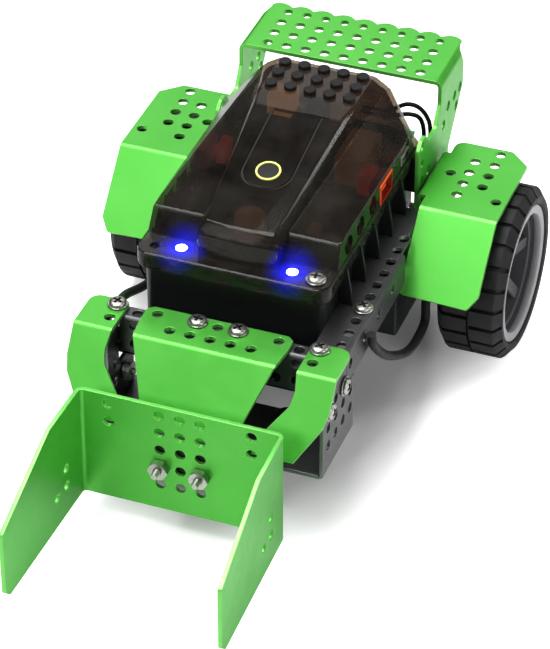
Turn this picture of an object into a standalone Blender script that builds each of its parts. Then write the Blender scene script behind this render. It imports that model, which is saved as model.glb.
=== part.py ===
"""Line follower robot: a bolted sheet metal vehicle with a scoop, two driven wheels and a ball caster.

The robot stands on the plane z = 0 and faces -Y. The origin is on the ground, under the middle of
its length and width. Names that end in _right are at +X and names that end in _left at -X, as seen
by someone who looks at the robot's front.
Lengths are written in millimetres, with y measured from the wheel axle and x from the middle of the
scoop. They are moved to the origin and turned into metres when a mesh is finished.
"""

import math

import bmesh
import bpy
from mathutils import Matrix, Vector

# ---------------------------------------------------------------- driving dimensions, in millimetres
MM = 0.001
PITCH = 8.0            # spacing of the hole grid on every sheet metal part
HOLE = 4.2             # clearance hole for an M4 screw
SHEET = 1.7            # sheet thickness
GAP = 0.3              # room left between pieces that rest on each other
LAYER = SHEET + GAP    # height of one sheet in a stack
HOLE_SIDES = 6
BEND = 2.4             # outer radius of a bend
TIGHT_BEND = SHEET + 0.1

ORIGIN = Vector((2.75, -85.0, 0.0))  # on the ground, under the middle of the robot's box
LEFT_WHEEL_SHIFT = 5.5  # the left wheel sits this much nearer to the chassis
WHEEL_RADIUS = 34.8
WHEEL_INNER_X = 58.5
WHEEL_OUTER_X = 85.0
RIM_OUTER = 27.8
RIM_INNER = 24.0

DECK_Z = 65.6          # upper face of the side beams
BEAM_X = 49.4          # outer face of the side beams
BEAM_FRONT_Y = -111.7
BEAM_SHORT_Y = -55.4   # front end of the shorter left beam
BEAM_REAR_Y = 31.0
BEAM_HEIGHT = 14.0
ROW_EDGE = 3.8         # from a folded corner to the nearest hole row
GRID_Y = -115.6        # a hole row that the whole chassis lines up with
SIDE_HOLE_Z = DECK_Z - 7.2
FRAME_BOLT_Y = [GRID_Y + 14 * PITCH, GRID_Y + 16 * PITCH]

PLATE_Z = DECK_Z + LAYER           # upper face of the parts bolted on the deck
PLATE_BEND_Y = -130.5
PLATE_SLOPE = math.radians(54)
SCOOP_X = 40.6
SCOOP_BACK_Y = -153.2
SCOOP_BOTTOM_Z = 9.0
SCOOP_TOP_Z = 57.0
SCOOP_BEND = math.radians(88.5)    # the scoop's walls open slightly towards the front
BRACKET_Z = 25.0       # underside of the front bracket
MOUNT_ROW_Y = -127.6   # hole row in the bracket's floor
SCOOP_BOLT_Z = 28.8
CASTER_Y = -112.0
BALL_RADIUS = 7.5

FENDER_Z = 72.2
FENDER_INNER_X = 43.3
FENDER_BEND_Y = -21.5
FENDER_SLOPE = math.radians(47)
SPOILER_Z = 104.0
SPOILER_X = 42.4

CASE_X = 38.5
CASE_FRONT_Y = -104.0
CASE_REAR_Y = 20.5
COVER_Z = 78.0
FLANGE_Z = 85.0
COVER_WALL = 1.6
HOOD_SLOPE_START = Vector((0.0, -92.2, 97.2))
HOOD_SLOPE_END = Vector((0.0, -30.6, 110.1))
TONGUE_HALF = 9.4      # half the width of the button tongue
TONGUE_LENGTH = 41.0
PORT_WINDOWS = [(-78.0, 8.0), (-65.0, 8.0), (-51.0, 8.0), (-33.3, 13.6), (-14.0, 9.6)]  # centre y, width
WINDOW_LOW_Z = 85.8
WINDOW_HIGH_Z = 92.6
LAMP_PLACE = (22.0, -96.0)
COVER_SCREW_PLACE = (31.9, -97.8)

SHANK_RADIUS = 1.5
HEAD_RADIUS = 3.9
HEAD_HEIGHT = 2.6


# ---------------------------------------------------------------- materials
def make_material(name, color, roughness, metallic=0.0):
    """Principled material with one colour."""
    material = bpy.data.materials.new(name)
    material.use_nodes = True
    shader = material.node_tree.nodes["Principled BSDF"]
    shader.inputs["Base Color"].default_value = (*color, 1.0)
    shader.inputs["Roughness"].default_value = roughness
    shader.inputs["Metallic"].default_value = metallic
    material.diffuse_color = (*color, 1.0)
    return material


def make_materials():
    """All the finishes that the robot uses."""
    return {
        "green": make_material("anodised_green", (0.09, 0.55, 0.07), 0.38, 0.6),
        "grey": make_material("anodised_grey", (0.13, 0.13, 0.14), 0.42, 0.7),
        "cover": make_material("smoked_plastic", (0.05, 0.035, 0.03), 0.15),
        "black": make_material("black_plastic", (0.02, 0.02, 0.022), 0.5),
        "tyre": make_material("tyre_rubber", (0.015, 0.015, 0.016), 0.85),
        "rim": make_material("rim_plastic", (0.45, 0.46, 0.48), 0.45),
        "steel": make_material("nickel_steel", (0.66, 0.64, 0.6), 0.25, 1.0),
        "orange": make_material("port_orange", (0.9, 0.15, 0.02), 0.4),
        "board": make_material("board_green", (0.02, 0.16, 0.05), 0.5),
        "led": make_material("led_lens", (0.2, 0.35, 1.0), 0.2),
        "battery": make_material("battery_sleeve", (0.05, 0.1, 0.3), 0.5),
    }


# ---------------------------------------------------------------- mesh helpers
def finish(name, bm, material, sharp_angle=35.0):
    """Move a millimetre bmesh to the origin and turn it into a named object in metres."""
    bmesh.ops.translate(bm, vec=-ORIGIN, verts=bm.verts)
    bmesh.ops.scale(bm, vec=(MM, MM, MM), verts=bm.verts)
    mesh = bpy.data.meshes.new(name)
    bm.to_mesh(mesh)
    bm.free()
    mesh.materials.append(material)
    mesh.shade_smooth()
    mesh.set_sharp_from_angle(angle=math.radians(sharp_angle))
    obj = bpy.data.objects.new(name, mesh)
    bpy.context.scene.collection.objects.link(obj)
    return obj


def mirrored(obj, name, shift=0.0):
    """A copy of an object on the other side of the plane x = 0, moved to +X by a shift."""
    bm = bmesh.new()
    bm.from_mesh(obj.data)
    bmesh.ops.scale(bm, vec=(1 / MM, 1 / MM, 1 / MM), verts=bm.verts)
    bmesh.ops.translate(bm, vec=ORIGIN, verts=bm.verts)
    bmesh.ops.scale(bm, vec=(-1.0, 1.0, 1.0), verts=bm.verts)
    bmesh.ops.reverse_faces(bm, faces=bm.faces)
    bmesh.ops.translate(bm, vec=(shift, 0, 0), verts=bm.verts)
    return finish(name, bm, obj.data.materials[0])


def circle(x, y, radius, sides):
    """Points of a polygon whose flats are parallel to the axes."""
    turn = math.pi / sides
    return [
        (x + radius * math.cos(turn + 2 * turn * k), y + radius * math.sin(turn + 2 * turn * k))
        for k in range(sides)
    ]


def grid_holes(xs, ys):
    """Centres of a block of holes."""
    return [(x, y) for y in ys for x in xs]


def steps(first, count, pitch=PITCH):
    """Evenly spaced positions."""
    return [first + pitch * k for k in range(count)]


def rounded(points, radius, arc_steps=3):
    """Round the corners of a polygon; radius is one number, or a dictionary from corner number."""
    result = []
    count = len(points)
    for index in range(count):
        size = radius.get(index, 0.0) if isinstance(radius, dict) else radius
        corner = Vector(points[index])
        if size <= 0.0:
            result.append(tuple(corner))
            continue
        back = (Vector(points[index - 1]) - corner).normalized()
        ahead = (Vector(points[(index + 1) % count]) - corner).normalized()
        half = back.angle(ahead) / 2
        reach = size / math.tan(half)
        centre = corner + (back + ahead).normalized() * (size / math.sin(half))
        start = corner + back * reach - centre
        end = corner + ahead * reach - centre
        sweep = start.angle_signed(end)
        for step in range(arc_steps + 1):
            turn = Matrix.Rotation(-sweep * step / arc_steps, 2)
            result.append(tuple(centre + turn @ start))
    return result


def plate(outline, rings, thickness):
    """A flat plate with openings: its upper face is at w = 0 and its lower one at w = -thickness."""
    curve = bpy.data.curves.new("plate", "CURVE")
    curve.dimensions = "2D"
    curve.fill_mode = "BOTH"
    curve.extrude = thickness / 2
    for ring in [outline] + rings:
        spline = curve.splines.new("POLY")
        spline.points.add(len(ring) - 1)
        for point, (x, y) in zip(spline.points, ring):
            point.co = (x, y, 0.0, 1.0)
        spline.use_cyclic_u = True
    holder = bpy.data.objects.new("plate", curve)
    mesh = bpy.data.meshes.new_from_object(holder)
    bm = bmesh.new()
    bm.from_mesh(mesh)
    bpy.data.meshes.remove(mesh)
    bpy.data.objects.remove(holder)
    bpy.data.curves.remove(curve)
    bmesh.ops.remove_doubles(bm, verts=bm.verts, dist=0.0001)
    bmesh.ops.recalc_face_normals(bm, faces=bm.faces)
    bmesh.ops.translate(bm, vec=(0, 0, -thickness / 2), verts=bm.verts)
    return bm


def fold(bm, axis, corner, angle, side, radius=BEND, bend_steps=2):
    """Bend the part of a flat plate past a line down, away from its upper face.

    axis is 0 or 1, side is +1 or -1. corner is where the upper faces would meet without the round,
    and the flat pattern measures every length from that corner.
    """
    tangent = radius * math.tan(angle / 2)
    start = side * corner - tangent
    normal = Vector((0, 0, 0))
    normal[axis] = 1.0
    for step in range(bend_steps + 1):
        place = Vector((0, 0, 0))
        place[axis] = side * (start + 2 * tangent * step / bend_steps)
        geometry = bm.verts[:] + bm.edges[:] + bm.faces[:]
        cut = bmesh.ops.bisect_plane(bm, geom=geometry, dist=0.0001, plane_co=place, plane_no=normal)
        for item in cut["geom_cut"]:
            if isinstance(item, bmesh.types.BMEdge):
                item.seam = True
    bmesh.ops.dissolve_limit(
        bm, angle_limit=math.radians(1), verts=bm.verts, edges=bm.edges, delimit={"SEAM"}
    )
    for vert in bm.verts:
        along = side * vert.co[axis] - start
        if along <= 0.0:
            continue
        turned = angle * min(along / (2 * tangent), 1.0)
        beyond = max(along - 2 * tangent, 0.0)
        reach = radius + vert.co.z
        vert.co[axis] = side * (start + reach * math.sin(turned) + beyond * math.cos(angle))
        vert.co.z = -radius + reach * math.cos(turned) - beyond * math.sin(angle)


def place(bm, origin, u_axis, v_axis):
    """Move a plate from its own axes to the robot's axes."""
    u_axis = Vector(u_axis)
    v_axis = Vector(v_axis)
    w_axis = u_axis.cross(v_axis)
    turn = Matrix((u_axis, v_axis, w_axis)).transposed().to_4x4()
    bmesh.ops.transform(bm, matrix=Matrix.Translation(origin) @ turn, verts=bm.verts)


def sheet(outline, holes, thickness=SHEET):
    """A plate with round holes of the grid size."""
    rings = [circle(x, y, HOLE / 2, HOLE_SIDES) for x, y in holes]
    return plate(outline, rings, thickness)


def lathe(profile, sides):
    """A closed solid turned around Z. The profile lists (radius, z) from bottom to top, outside."""
    bm = bmesh.new()
    rings = []
    for radius, z in profile:
        if radius < 1e-6:
            rings.append([bm.verts.new((0, 0, z))])
            continue
        ring = []
        for k in range(sides):
            turn = 2 * math.pi * k / sides
            ring.append(bm.verts.new((radius * math.cos(turn), radius * math.sin(turn), z)))
        rings.append(ring)
    pairs = list(zip(rings, rings[1:]))
    if len(rings[0]) > 1 or len(rings[-1]) > 1:
        pairs.append((rings[-1], rings[0]))
    for low, high in pairs:
        for k in range(sides):
            after = (k + 1) % sides
            corners = [low[k % len(low)], low[after % len(low)]]
            corners += [high[after % len(high)], high[k % len(high)]]
            unique = list(dict.fromkeys(corners))
            if len(unique) > 2:
                bm.faces.new(unique)
    bmesh.ops.recalc_face_normals(bm, faces=bm.faces)
    return bm


def point_along(bm, origin, direction):
    """Move a solid made around Z so that its Z axis points along a direction from the origin."""
    turn = Vector((0, 0, 1)).rotation_difference(Vector(direction)).to_matrix().to_4x4()
    bmesh.ops.transform(bm, matrix=Matrix.Translation(origin) @ turn, verts=bm.verts)


def box(low, high):
    """A rectangular block between two corners."""
    bm = bmesh.new()
    bmesh.ops.create_cube(bm, size=1.0)
    low = Vector(low)
    high = Vector(high)
    bmesh.ops.scale(bm, vec=high - low, verts=bm.verts)
    bmesh.ops.translate(bm, vec=(low + high) / 2, verts=bm.verts)
    return bm


def bevelled_box(low, high, width):
    """A block with chamfered edges."""
    bm = box(low, high)
    bmesh.ops.bevel(bm, geom=bm.edges[:], offset=width, segments=1, affect="EDGES")
    return bm


def hull(points):
    """The convex solid around a set of points."""
    bm = bmesh.new()
    for point in points:
        bm.verts.new(point)
    result = bmesh.ops.convex_hull(bm, input=bm.verts)
    spare = [item for item in result["geom_interior"] if isinstance(item, bmesh.types.BMVert)]
    bmesh.ops.delete(bm, geom=spare, context="VERTS")
    bmesh.ops.recalc_face_normals(bm, faces=bm.faces)
    return bm


def combine(first, others, operation):
    """Join solids to a first solid, or cut them from it."""
    mesh = bpy.data.meshes.new("work")
    first.to_mesh(mesh)
    first.free()
    target = bpy.data.objects.new("work", mesh)
    bpy.context.scene.collection.objects.link(target)
    tools = []
    for bm in others:
        tool_mesh = bpy.data.meshes.new("tool")
        bm.to_mesh(tool_mesh)
        bm.free()
        tool = bpy.data.objects.new("tool", tool_mesh)
        bpy.context.scene.collection.objects.link(tool)
        tools.append(tool)
        modifier = target.modifiers.new("tool", "BOOLEAN")
        modifier.object = tool
        modifier.operation = operation
        modifier.solver = "EXACT"
    bpy.context.view_layer.update()
    graph = bpy.context.evaluated_depsgraph_get()
    result = bmesh.new()
    result.from_mesh(target.evaluated_get(graph).to_mesh())
    bpy.data.objects.remove(target)
    for tool in tools:
        bpy.data.objects.remove(tool)
    return result


def tube(points, radius, sides, rings_per_span=4):
    """A cable: a round bar along a smooth curve through the points."""
    path = [Vector(p) for p in points]
    path = [2 * path[0] - path[1]] + path + [2 * path[-1] - path[-2]]
    centres = []
    for a, b, c, d in zip(path, path[1:], path[2:], path[3:]):
        for k in range(rings_per_span):
            t = k / rings_per_span
            centres.append(0.5 * (2 * b + (c - a) * t + (2 * a - 5 * b + 4 * c - d) * t ** 2
                                  + (3 * b - a - 3 * c + d) * t ** 3))
    centres.append(path[-2])
    bm = bmesh.new()
    rings = []
    direction = (centres[1] - centres[0]).normalized()
    across = direction.orthogonal().normalized()
    for index, centre in enumerate(centres):
        ahead = centres[min(index + 1, len(centres) - 1)] - centres[max(index - 1, 0)]
        across = (across - ahead.normalized() * across.dot(ahead.normalized())).normalized()
        other = ahead.normalized().cross(across)
        ring = []
        for k in range(sides):
            turn = 2 * math.pi * k / sides
            offset = across * math.cos(turn) + other * math.sin(turn)
            ring.append(bm.verts.new(centre + offset * radius))
        rings.append(ring)
    for low, high in zip(rings, rings[1:]):
        for k in range(sides):
            after = (k + 1) % sides
            bm.faces.new((low[k], low[after], high[after], high[k]))
    bm.faces.new(rings[0])
    bm.faces.new(rings[-1])
    bmesh.ops.recalc_face_normals(bm, faces=bm.faces)
    return bm


# ---------------------------------------------------------------- fasteners
def screw(name, seat, direction, length, material):
    """A pan head screw. seat is the centre of the surface under the head; direction points out."""
    profile = [
        (0, -length), (SHANK_RADIUS, -length), (SHANK_RADIUS, GAP), (HEAD_RADIUS, GAP),
        (HEAD_RADIUS, GAP + HEAD_HEIGHT * 0.45), (HEAD_RADIUS * 0.72, GAP + HEAD_HEIGHT * 0.9),
        (0, GAP + HEAD_HEIGHT),
    ]
    bm = lathe(profile, 8)
    point_along(bm, seat, direction)
    return finish(name, bm, material)


def nut(name, seat, direction, material):
    """A hexagon nut around a screw."""
    outside = 4.0
    bore = SHANK_RADIUS + 0.35
    bm = lathe([(bore, GAP), (outside, GAP), (outside, GAP + 3.0), (bore, GAP + 3.0)], 6)
    point_along(bm, seat, direction)
    return finish(name, bm, material)


# ---------------------------------------------------------------- chassis
def chassis_beam(front_y, first_side_hole):
    """An angle profile on the right, from a front end to the rear."""
    inner_x = 36.0
    narrow_x = 45.3
    narrow_y = -15.0
    relief_y = (-45.0, -33.5, -22.0)
    depth = BEAM_X + BEAM_HEIGHT
    outline = [
        (inner_x, front_y), (depth, front_y), (depth, relief_y[0]), (BEAM_X - 1.5, relief_y[0]),
        (BEAM_X - 1.5, relief_y[1]), (BEAM_X - 2.9, relief_y[1]), (BEAM_X - 2.9, relief_y[2]),
        (depth, relief_y[2]), (depth, BEAM_REAR_Y), (narrow_x, BEAM_REAR_Y), (narrow_x, narrow_y),
        (inner_x, narrow_y),
    ]
    outline = rounded(outline, {1: 2.0, 2: 2.0, 7: 2.0, 8: 2.0, 11: 2.0})
    rows = [y for y in steps(GRID_Y + PITCH, 10) if y > front_y]
    holes = grid_holes([BEAM_X - ROW_EDGE], rows)
    side_u = BEAM_X + DECK_Z - SIDE_HOLE_Z
    holes += [(side_u, y) for y in steps(GRID_Y + PITCH, 4, 2 * PITCH)[first_side_hole:]]
    holes += [(side_u, y) for y in FRAME_BOLT_Y]
    holes += [(side_u, BEAM_REAR_Y - 4.0)]
    bm = sheet(outline, holes)
    fold(bm, 0, BEAM_X, math.radians(90), 1, radius=TIGHT_BEND)
    place(bm, (0, 0, DECK_Z), (1, 0, 0), (0, 1, 0))
    return bm


def chassis_beams(material):
    """The long right beam, and the left beam, which ends beside the controller."""
    finish("chassis_beam_right", chassis_beam(BEAM_FRONT_Y, 0), material)
    bm = chassis_beam(BEAM_SHORT_Y, 4)
    bmesh.ops.scale(bm, vec=(-1.0, 1.0, 1.0), verts=bm.verts)
    bmesh.ops.reverse_faces(bm, faces=bm.faces)
    finish("chassis_beam_left", bm, material)


def front_crossbeam(material):
    """The channel that joins the beams in front and carries the arms and the centre plate."""
    front_y = GRID_Y - ROW_EDGE
    bottom_z = 49.6
    end_x = BEAM_X - LAYER
    flange = DECK_Z + 7.0
    ear_top = DECK_Z - 4.0
    relief = 2.6
    sides = []
    for ear in (20.0, 7.8):
        ear_end = end_x + ear
        sides.append([
            (end_x - relief, bottom_z), (end_x - relief, bottom_z + 1.0), (ear_end, bottom_z + 1.0),
            (ear_end, ear_top), (end_x - relief, ear_top), (end_x - relief, flange),
        ])
    right = sides[0]
    left = [(-x, z) for x, z in reversed(sides[1])]
    row_z = DECK_Z - ROW_EDGE
    holes = grid_holes(steps(-5 * PITCH, 11), [row_z, row_z - PITCH])
    holes += grid_holes([x * PITCH for x in (-5, -4, -1, 1, 4, 5)], [DECK_Z + ROW_EDGE])
    bolt_u = end_x + GRID_Y - front_y
    holes += [(-bolt_u, 53.8), (bolt_u, 53.8), (bolt_u + PITCH, SIDE_HOLE_Z)]
    bm = sheet(right + left, holes)
    fold(bm, 1, DECK_Z, math.radians(90), 1, radius=TIGHT_BEND)
    fold(bm, 0, end_x, math.radians(90), 1, radius=TIGHT_BEND)
    fold(bm, 0, -end_x, math.radians(90), -1, radius=TIGHT_BEND)
    place(bm, (0, front_y, 0), (1, 0, 0), (0, 0, 1))
    finish("front_crossbeam", bm, material)


def rear_crossbeam(material):
    """The channel that joins the beams behind the battery tray."""
    end_x = SPOILER_X - LAYER
    top_z = DECK_Z - LAYER
    height = 14.0
    outline = [(-end_x, -height), (end_x, -height), (end_x, PITCH), (-end_x, PITCH)]
    holes = grid_holes(steps(-4 * PITCH, 9), [-height / 2])
    holes += grid_holes(steps(-4 * PITCH, 5, 2 * PITCH), [PITCH / 2])
    bm = sheet(rounded(outline, 1.5, 2), holes)
    fold(bm, 1, 0.0, math.radians(90), 1)
    place(bm, (0, BEAM_REAR_Y, top_z), (-1, 0, 0), (0, 0, 1))
    finish("rear_crossbeam", bm, material)


def front_bracket(material):
    """The wide U under the arms that holds the caster, the sensor and the scoop."""
    front_y = -137.0
    rear_y = -104.0

    def side_point(y, z):
        return BEAM_X + z - BRACKET_Z, -y

    right = [
        (BEAM_X - 3.0, -rear_y), side_point(rear_y, BRACKET_Z + 3.0), side_point(rear_y, 51.2),
        side_point(BEAM_FRONT_Y - 0.4, 51.2), side_point(BEAM_FRONT_Y - 0.4, DECK_Z),
        side_point(-127.5, DECK_Z), side_point(-129.5, 63.6), side_point(front_y, 54.0),
        side_point(front_y, BRACKET_Z + 3.0), (BEAM_X - 3.0, -front_y),
    ]
    left = [(-x, y) for x, y in reversed(right)]
    rows = [37.8, 45.8, 53.8]
    holes = []
    for z in rows:
        for y in steps(GRID_Y - 2 * PITCH, 3 if z == rows[-1] else 4):
            u, v = side_point(y, z)
            holes += [(u, v), (-u, v)]
    holes += grid_holes([-24, -8, 8, 24], [-MOUNT_ROW_Y])
    bm = sheet(right + left, holes)
    fold(bm, 0, BEAM_X, math.radians(90), 1)
    fold(bm, 0, -BEAM_X, math.radians(90), -1)
    place(bm, (0, 0, BRACKET_Z), (1, 0, 0), (0, -1, 0))
    finish("front_bracket", bm, material)


# ---------------------------------------------------------------- front plates and scoop
def slope_v(distance):
    """Flat pattern place of a point on a sloped face, from its distance below the bend."""
    return PLATE_BEND_Y - distance


def centre_plate(material):
    """The tapered apron in the middle."""
    right = [
        (17.0, slope_v(33.0)), (20.4, slope_v(22.4)), (28.0, slope_v(0)), (29.0, GRID_Y - 5.0),
        (29.0, GRID_Y + 2.0), (26.5, GRID_Y + 4.0),
    ]
    left = [(-x, y) for x, y in reversed(right)]
    holes = grid_holes([-16, -8, 0, 8, 16], [GRID_Y - PITCH])
    holes += grid_holes([-24, -8, 0, 8, 24], [GRID_Y])
    bm = sheet(right + left, holes)
    fold(bm, 1, PLATE_BEND_Y, PLATE_SLOPE, -1)
    place(bm, (0, 0, PLATE_Z), (1, 0, 0), (0, 1, 0))
    finish("centre_plate", bm, material)


def arms(material):
    """Curved plates on both sides of the apron that reach down to the scoop."""
    outline = [
        (36.3, slope_v(0)), (37.4, slope_v(8.0)), (36.4, slope_v(13.0)), (29.5, slope_v(23.0)),
        (26.0, slope_v(29.0)), (26.0, slope_v(33.0)), (42.0, slope_v(33.0)), (50.3, slope_v(18.6)),
        (51.6, slope_v(12.0)), (51.6, GRID_Y + 3.8), (36.3, GRID_Y + 3.8),
    ]
    outline = rounded(outline, {2: 6.0, 3: 8.0, 7: 5.0, 9: 4.5, 10: 2.0})
    bm = sheet(outline, [(40.0, GRID_Y), (40.0, GRID_Y - PITCH)])
    fold(bm, 1, PLATE_BEND_Y, PLATE_SLOPE, -1)
    place(bm, (0, 0, PLATE_Z), (1, 0, 0), (0, 1, 0))
    right = finish("arm_right", bm, material)
    mirrored(right, "arm_left")


def scoop(material):
    """The open U that pushes and carries things."""
    def side_point(y, z):
        return SCOOP_X + SCOOP_BACK_Y - y, -z

    right = [
        (SCOOP_X, -SCOOP_BOTTOM_Z), side_point(-218.5, SCOOP_BOTTOM_Z), side_point(-222.0, 12.5),
        side_point(-222.0, 39.4), side_point(-181.0, SCOOP_TOP_Z),
    ]
    left = [(-x, y) for x, y in reversed(right)]
    rows = [-z for z in steps(20.8, 5)]
    holes = grid_holes([-PITCH, 0, PITCH], rows)
    holes += grid_holes([-28.0, 28.0], rows[3:])
    for y, z in ((-169.0, 30.0), (-169.0, 22.0), (-177.0, 22.0)):
        u, v = side_point(y, z)
        holes += [(u, v), (-u, v)]
    bm = sheet(right + left, holes)
    fold(bm, 0, SCOOP_X, SCOOP_BEND, 1, radius=3.2)
    fold(bm, 0, -SCOOP_X, SCOOP_BEND, -1, radius=3.2)
    place(bm, (0, SCOOP_BACK_Y, 0), (1, 0, 0), (0, 0, -1))
    finish("scoop", bm, material)


def scoop_bracket(material):
    """The angle that joins the scoop to the front bracket."""
    half = 12.0
    rear_y = MOUNT_ROW_Y + 5.0
    front_y = SCOOP_BACK_Y + GAP
    under_z = BRACKET_Z - GAP - SHEET
    outline = [(-half, -rear_y), (-half, -front_y + 19.0), (half, -front_y + 19.0), (half, -rear_y)]
    outline.reverse()
    holes = grid_holes([-PITCH, PITCH], [-MOUNT_ROW_Y, -front_y + SCOOP_BOLT_Z - under_z])
    bm = sheet(rounded(outline, 1.5, 2), holes)
    fold(bm, 1, -front_y, math.radians(90), 1)
    place(bm, (0, 0, under_z), (1, 0, 0), (0, -1, 0))
    finish("scoop_bracket", bm, material)


# ---------------------------------------------------------------- fenders and spoiler
def fenders(material):
    """Bent covers over the wheels, with an inner tab bolted to the chassis."""
    def front_v(distance):
        return FENDER_BEND_Y - distance

    lobe_x = 46.9
    tab = FENDER_INNER_X - 22.0
    outline = [
        (lobe_x, front_v(35.0)), (74.5, front_v(35.8)), (78.0, front_v(30.0)), (78.0, 19.2),
        (70.0, 26.8), (lobe_x, 26.8), (lobe_x, 17.9), (tab, 17.9), (tab, -13.5), (lobe_x, -13.5),
    ]
    outline = rounded(outline, {0: 2.0, 1: 1.5, 2: 1.5, 3: 1.0, 4: 1.0, 5: 4.0, 7: 3.0, 8: 3.0})
    holes = [(57.9, y) for y in steps(-8.8, 4)]
    holes += [(65.9, y) for y in steps(-0.8, 4)]
    holes += [(73.9, -8.8), (51.1, 4.6)]
    tab_u = FENDER_INNER_X - (FENDER_Z - SIDE_HOLE_Z)
    holes += [(tab_u, y) for y in FRAME_BOLT_Y]
    bm = sheet(outline, holes)
    fold(bm, 0, FENDER_INNER_X, math.radians(90), -1, radius=2.1)
    fold(bm, 1, FENDER_BEND_Y, FENDER_SLOPE, -1, radius=3.0)
    place(bm, (0, 0, FENDER_Z), (1, 0, 0), (0, 1, 0))
    right = finish("fender_right", bm, material)
    mirrored(right, "fender_left")


def spoiler(material):
    """The rear wing: a perforated plate with a scalloped edge on two shaped legs."""
    def leg_point(y, z):
        return SPOILER_X + SPOILER_Z - z, y

    right = [
        (39.0, 17.5), leg_point(17.5, 94.0), leg_point(12.0, 86.0), leg_point(3.3, 86.0),
        leg_point(-1.5, 91.2), leg_point(-5.8, 91.2), leg_point(-9.2, 87.8), leg_point(-9.2, 50.2),
        leg_point(29.0, 50.2), leg_point(29.0, 67.0), leg_point(46.0, 87.0), leg_point(46.0, 97.0),
        (SPOILER_X, 42.0), (40.2, 48.5),
    ]
    crests = 9
    width = 9.0
    rear = []
    for k in range(crests):
        middle = width * (crests - 1) / 2 - width * k
        rear += [(middle + 2.2, 52.0), (middle - 2.2, 52.0)]
        if k < crests - 1:
            rear.append((middle - width / 2, 49.6))
    left = [(-x, y) for x, y in reversed(right)]
    holes = grid_holes(steps(-4 * PITCH, 9), steps(22.0, 4))
    leg_holes = [
        (-5, 88), (-5, 80), (-5, 72), (3, 72), (27, 87.6), (35, 87.6), (42, 87.6), (37.6, 81.4),
        (21.4, 82),
    ]
    for y, z in leg_holes:
        u, v = leg_point(y, z)
        holes += [(u, v), (-u, v)]
    for y in FRAME_BOLT_Y:
        u, v = leg_point(y, SIDE_HOLE_Z)
        holes += [(u, v), (-u, v)]
    bm = sheet(right + rear + left, holes)
    fold(bm, 0, SPOILER_X, math.radians(90), 1, radius=3.0)
    fold(bm, 0, -SPOILER_X, math.radians(90), -1, radius=3.0)
    place(bm, (0, 0, SPOILER_Z), (1, 0, 0), (0, 1, 0))
    finish("spoiler", bm, material)


# ---------------------------------------------------------------- drive
def motors(material):
    """Gear motor housings beside the beams."""
    bm = bevelled_box((26.6, -42.0, 22.7), (BEAM_X - 4.0, 12.0, 45.3), 1.5)
    right = finish("motor_right", bm, material)
    mirrored(right, "motor_left")


def motor_brackets(material):
    """Plates that hang the motors from the beams."""
    face_x = BEAM_X - LAYER
    low_z = 24.0
    high_z = DECK_Z - SHEET - GAP - 0.2
    outline = [(-10.0, low_z), (18.0, low_z), (18.0, high_z), (-10.0, high_z)]
    rings = [circle(y, SIDE_HOLE_Z, HOLE / 2, HOLE_SIDES) for y in FRAME_BOLT_Y]
    rings.append(circle(0.0, WHEEL_RADIUS, 4.5, 12))
    bm = plate(rounded(outline, 2.0, 2), rings, SHEET)
    place(bm, (face_x, 0, 0), (0, 1, 0), (0, 0, 1))
    right = finish("motor_bracket_right", bm, material)
    mirrored(right, "motor_bracket_left")


def axles(material):
    """Output shafts, which turn with the wheels."""
    radius = 2.5
    for side, label, length in ((-1, "left", 26.0 - LEFT_WHEEL_SHIFT), (1, "right", 26.0)):
        bm = lathe([(0, 0), (radius, 0), (radius, length), (0, length)], 12)
        point_along(bm, (side * (BEAM_X - 3.7), 0, WHEEL_RADIUS), (side, 0, 0))
        finish(f"axle_{label}", bm, material)


def tyres(material):
    """Rubber rings with blocks around the tread."""
    lugs = 30
    groove = 1.2
    width = WHEEL_OUTER_X - WHEEL_INNER_X
    bore = RIM_OUTER + GAP
    outline = []
    for k in range(lugs):
        for share, depth in ((0.0, groove), (0.28, groove), (0.34, 0.0), (0.94, 0.0)):
            turn = 2 * math.pi * (k + share) / lugs
            reach = WHEEL_RADIUS - depth
            outline.append((reach * math.cos(turn), reach * math.sin(turn)))
    bm = plate(outline, [circle(0, 0, bore, 36)], width)
    place(bm, (WHEEL_OUTER_X, 0, WHEEL_RADIUS), (0, 1, 0), (0, 0, 1))
    right = finish("tyre_right", bm, material)
    mirrored(right, "tyre_left", LEFT_WHEEL_SHIFT)


def rims(material):
    """Light rings that carry the tyres."""
    low = 1.0
    high = WHEEL_OUTER_X - WHEEL_INNER_X - 0.8
    profile = [
        (RIM_INNER, low), (RIM_OUTER, low), (RIM_OUTER, high - 0.8), (RIM_OUTER - 0.8, high),
        (RIM_INNER + 1.2, high), (RIM_INNER, high - 1.2),
    ]
    bm = lathe(profile, 36)
    point_along(bm, (WHEEL_INNER_X, 0, WHEEL_RADIUS), (1, 0, 0))
    right = finish("rim_right", bm, material)
    mirrored(right, "rim_left", LEFT_WHEEL_SHIFT)


def hubs(material):
    """Spoked centres pressed in the rims."""
    spokes = 6
    outer = RIM_INNER - GAP
    windows = []
    for k in range(spokes):
        middle = 2 * math.pi * k / spokes
        ring = []
        for share in (-1.0, -0.5, 0.0, 0.5, 1.0):
            turn = middle + share * math.radians(21)
            ring.append((20.5 * math.cos(turn), 20.5 * math.sin(turn)))
        for share in (1.0, -1.0):
            turn = middle + share * math.radians(12)
            ring.append((9.0 * math.cos(turn), 9.0 * math.sin(turn)))
        windows.append(ring)
    windows.append(circle(0, 0, 2.9, 12))
    bm = plate(circle(0, 0, outer, 36), windows, 14.0)
    place(bm, (WHEEL_OUTER_X - 5.0, 0, WHEEL_RADIUS), (0, 1, 0), (0, 0, 1))
    right = finish("hub_right", bm, material)
    mirrored(right, "hub_left", LEFT_WHEEL_SHIFT)


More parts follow.
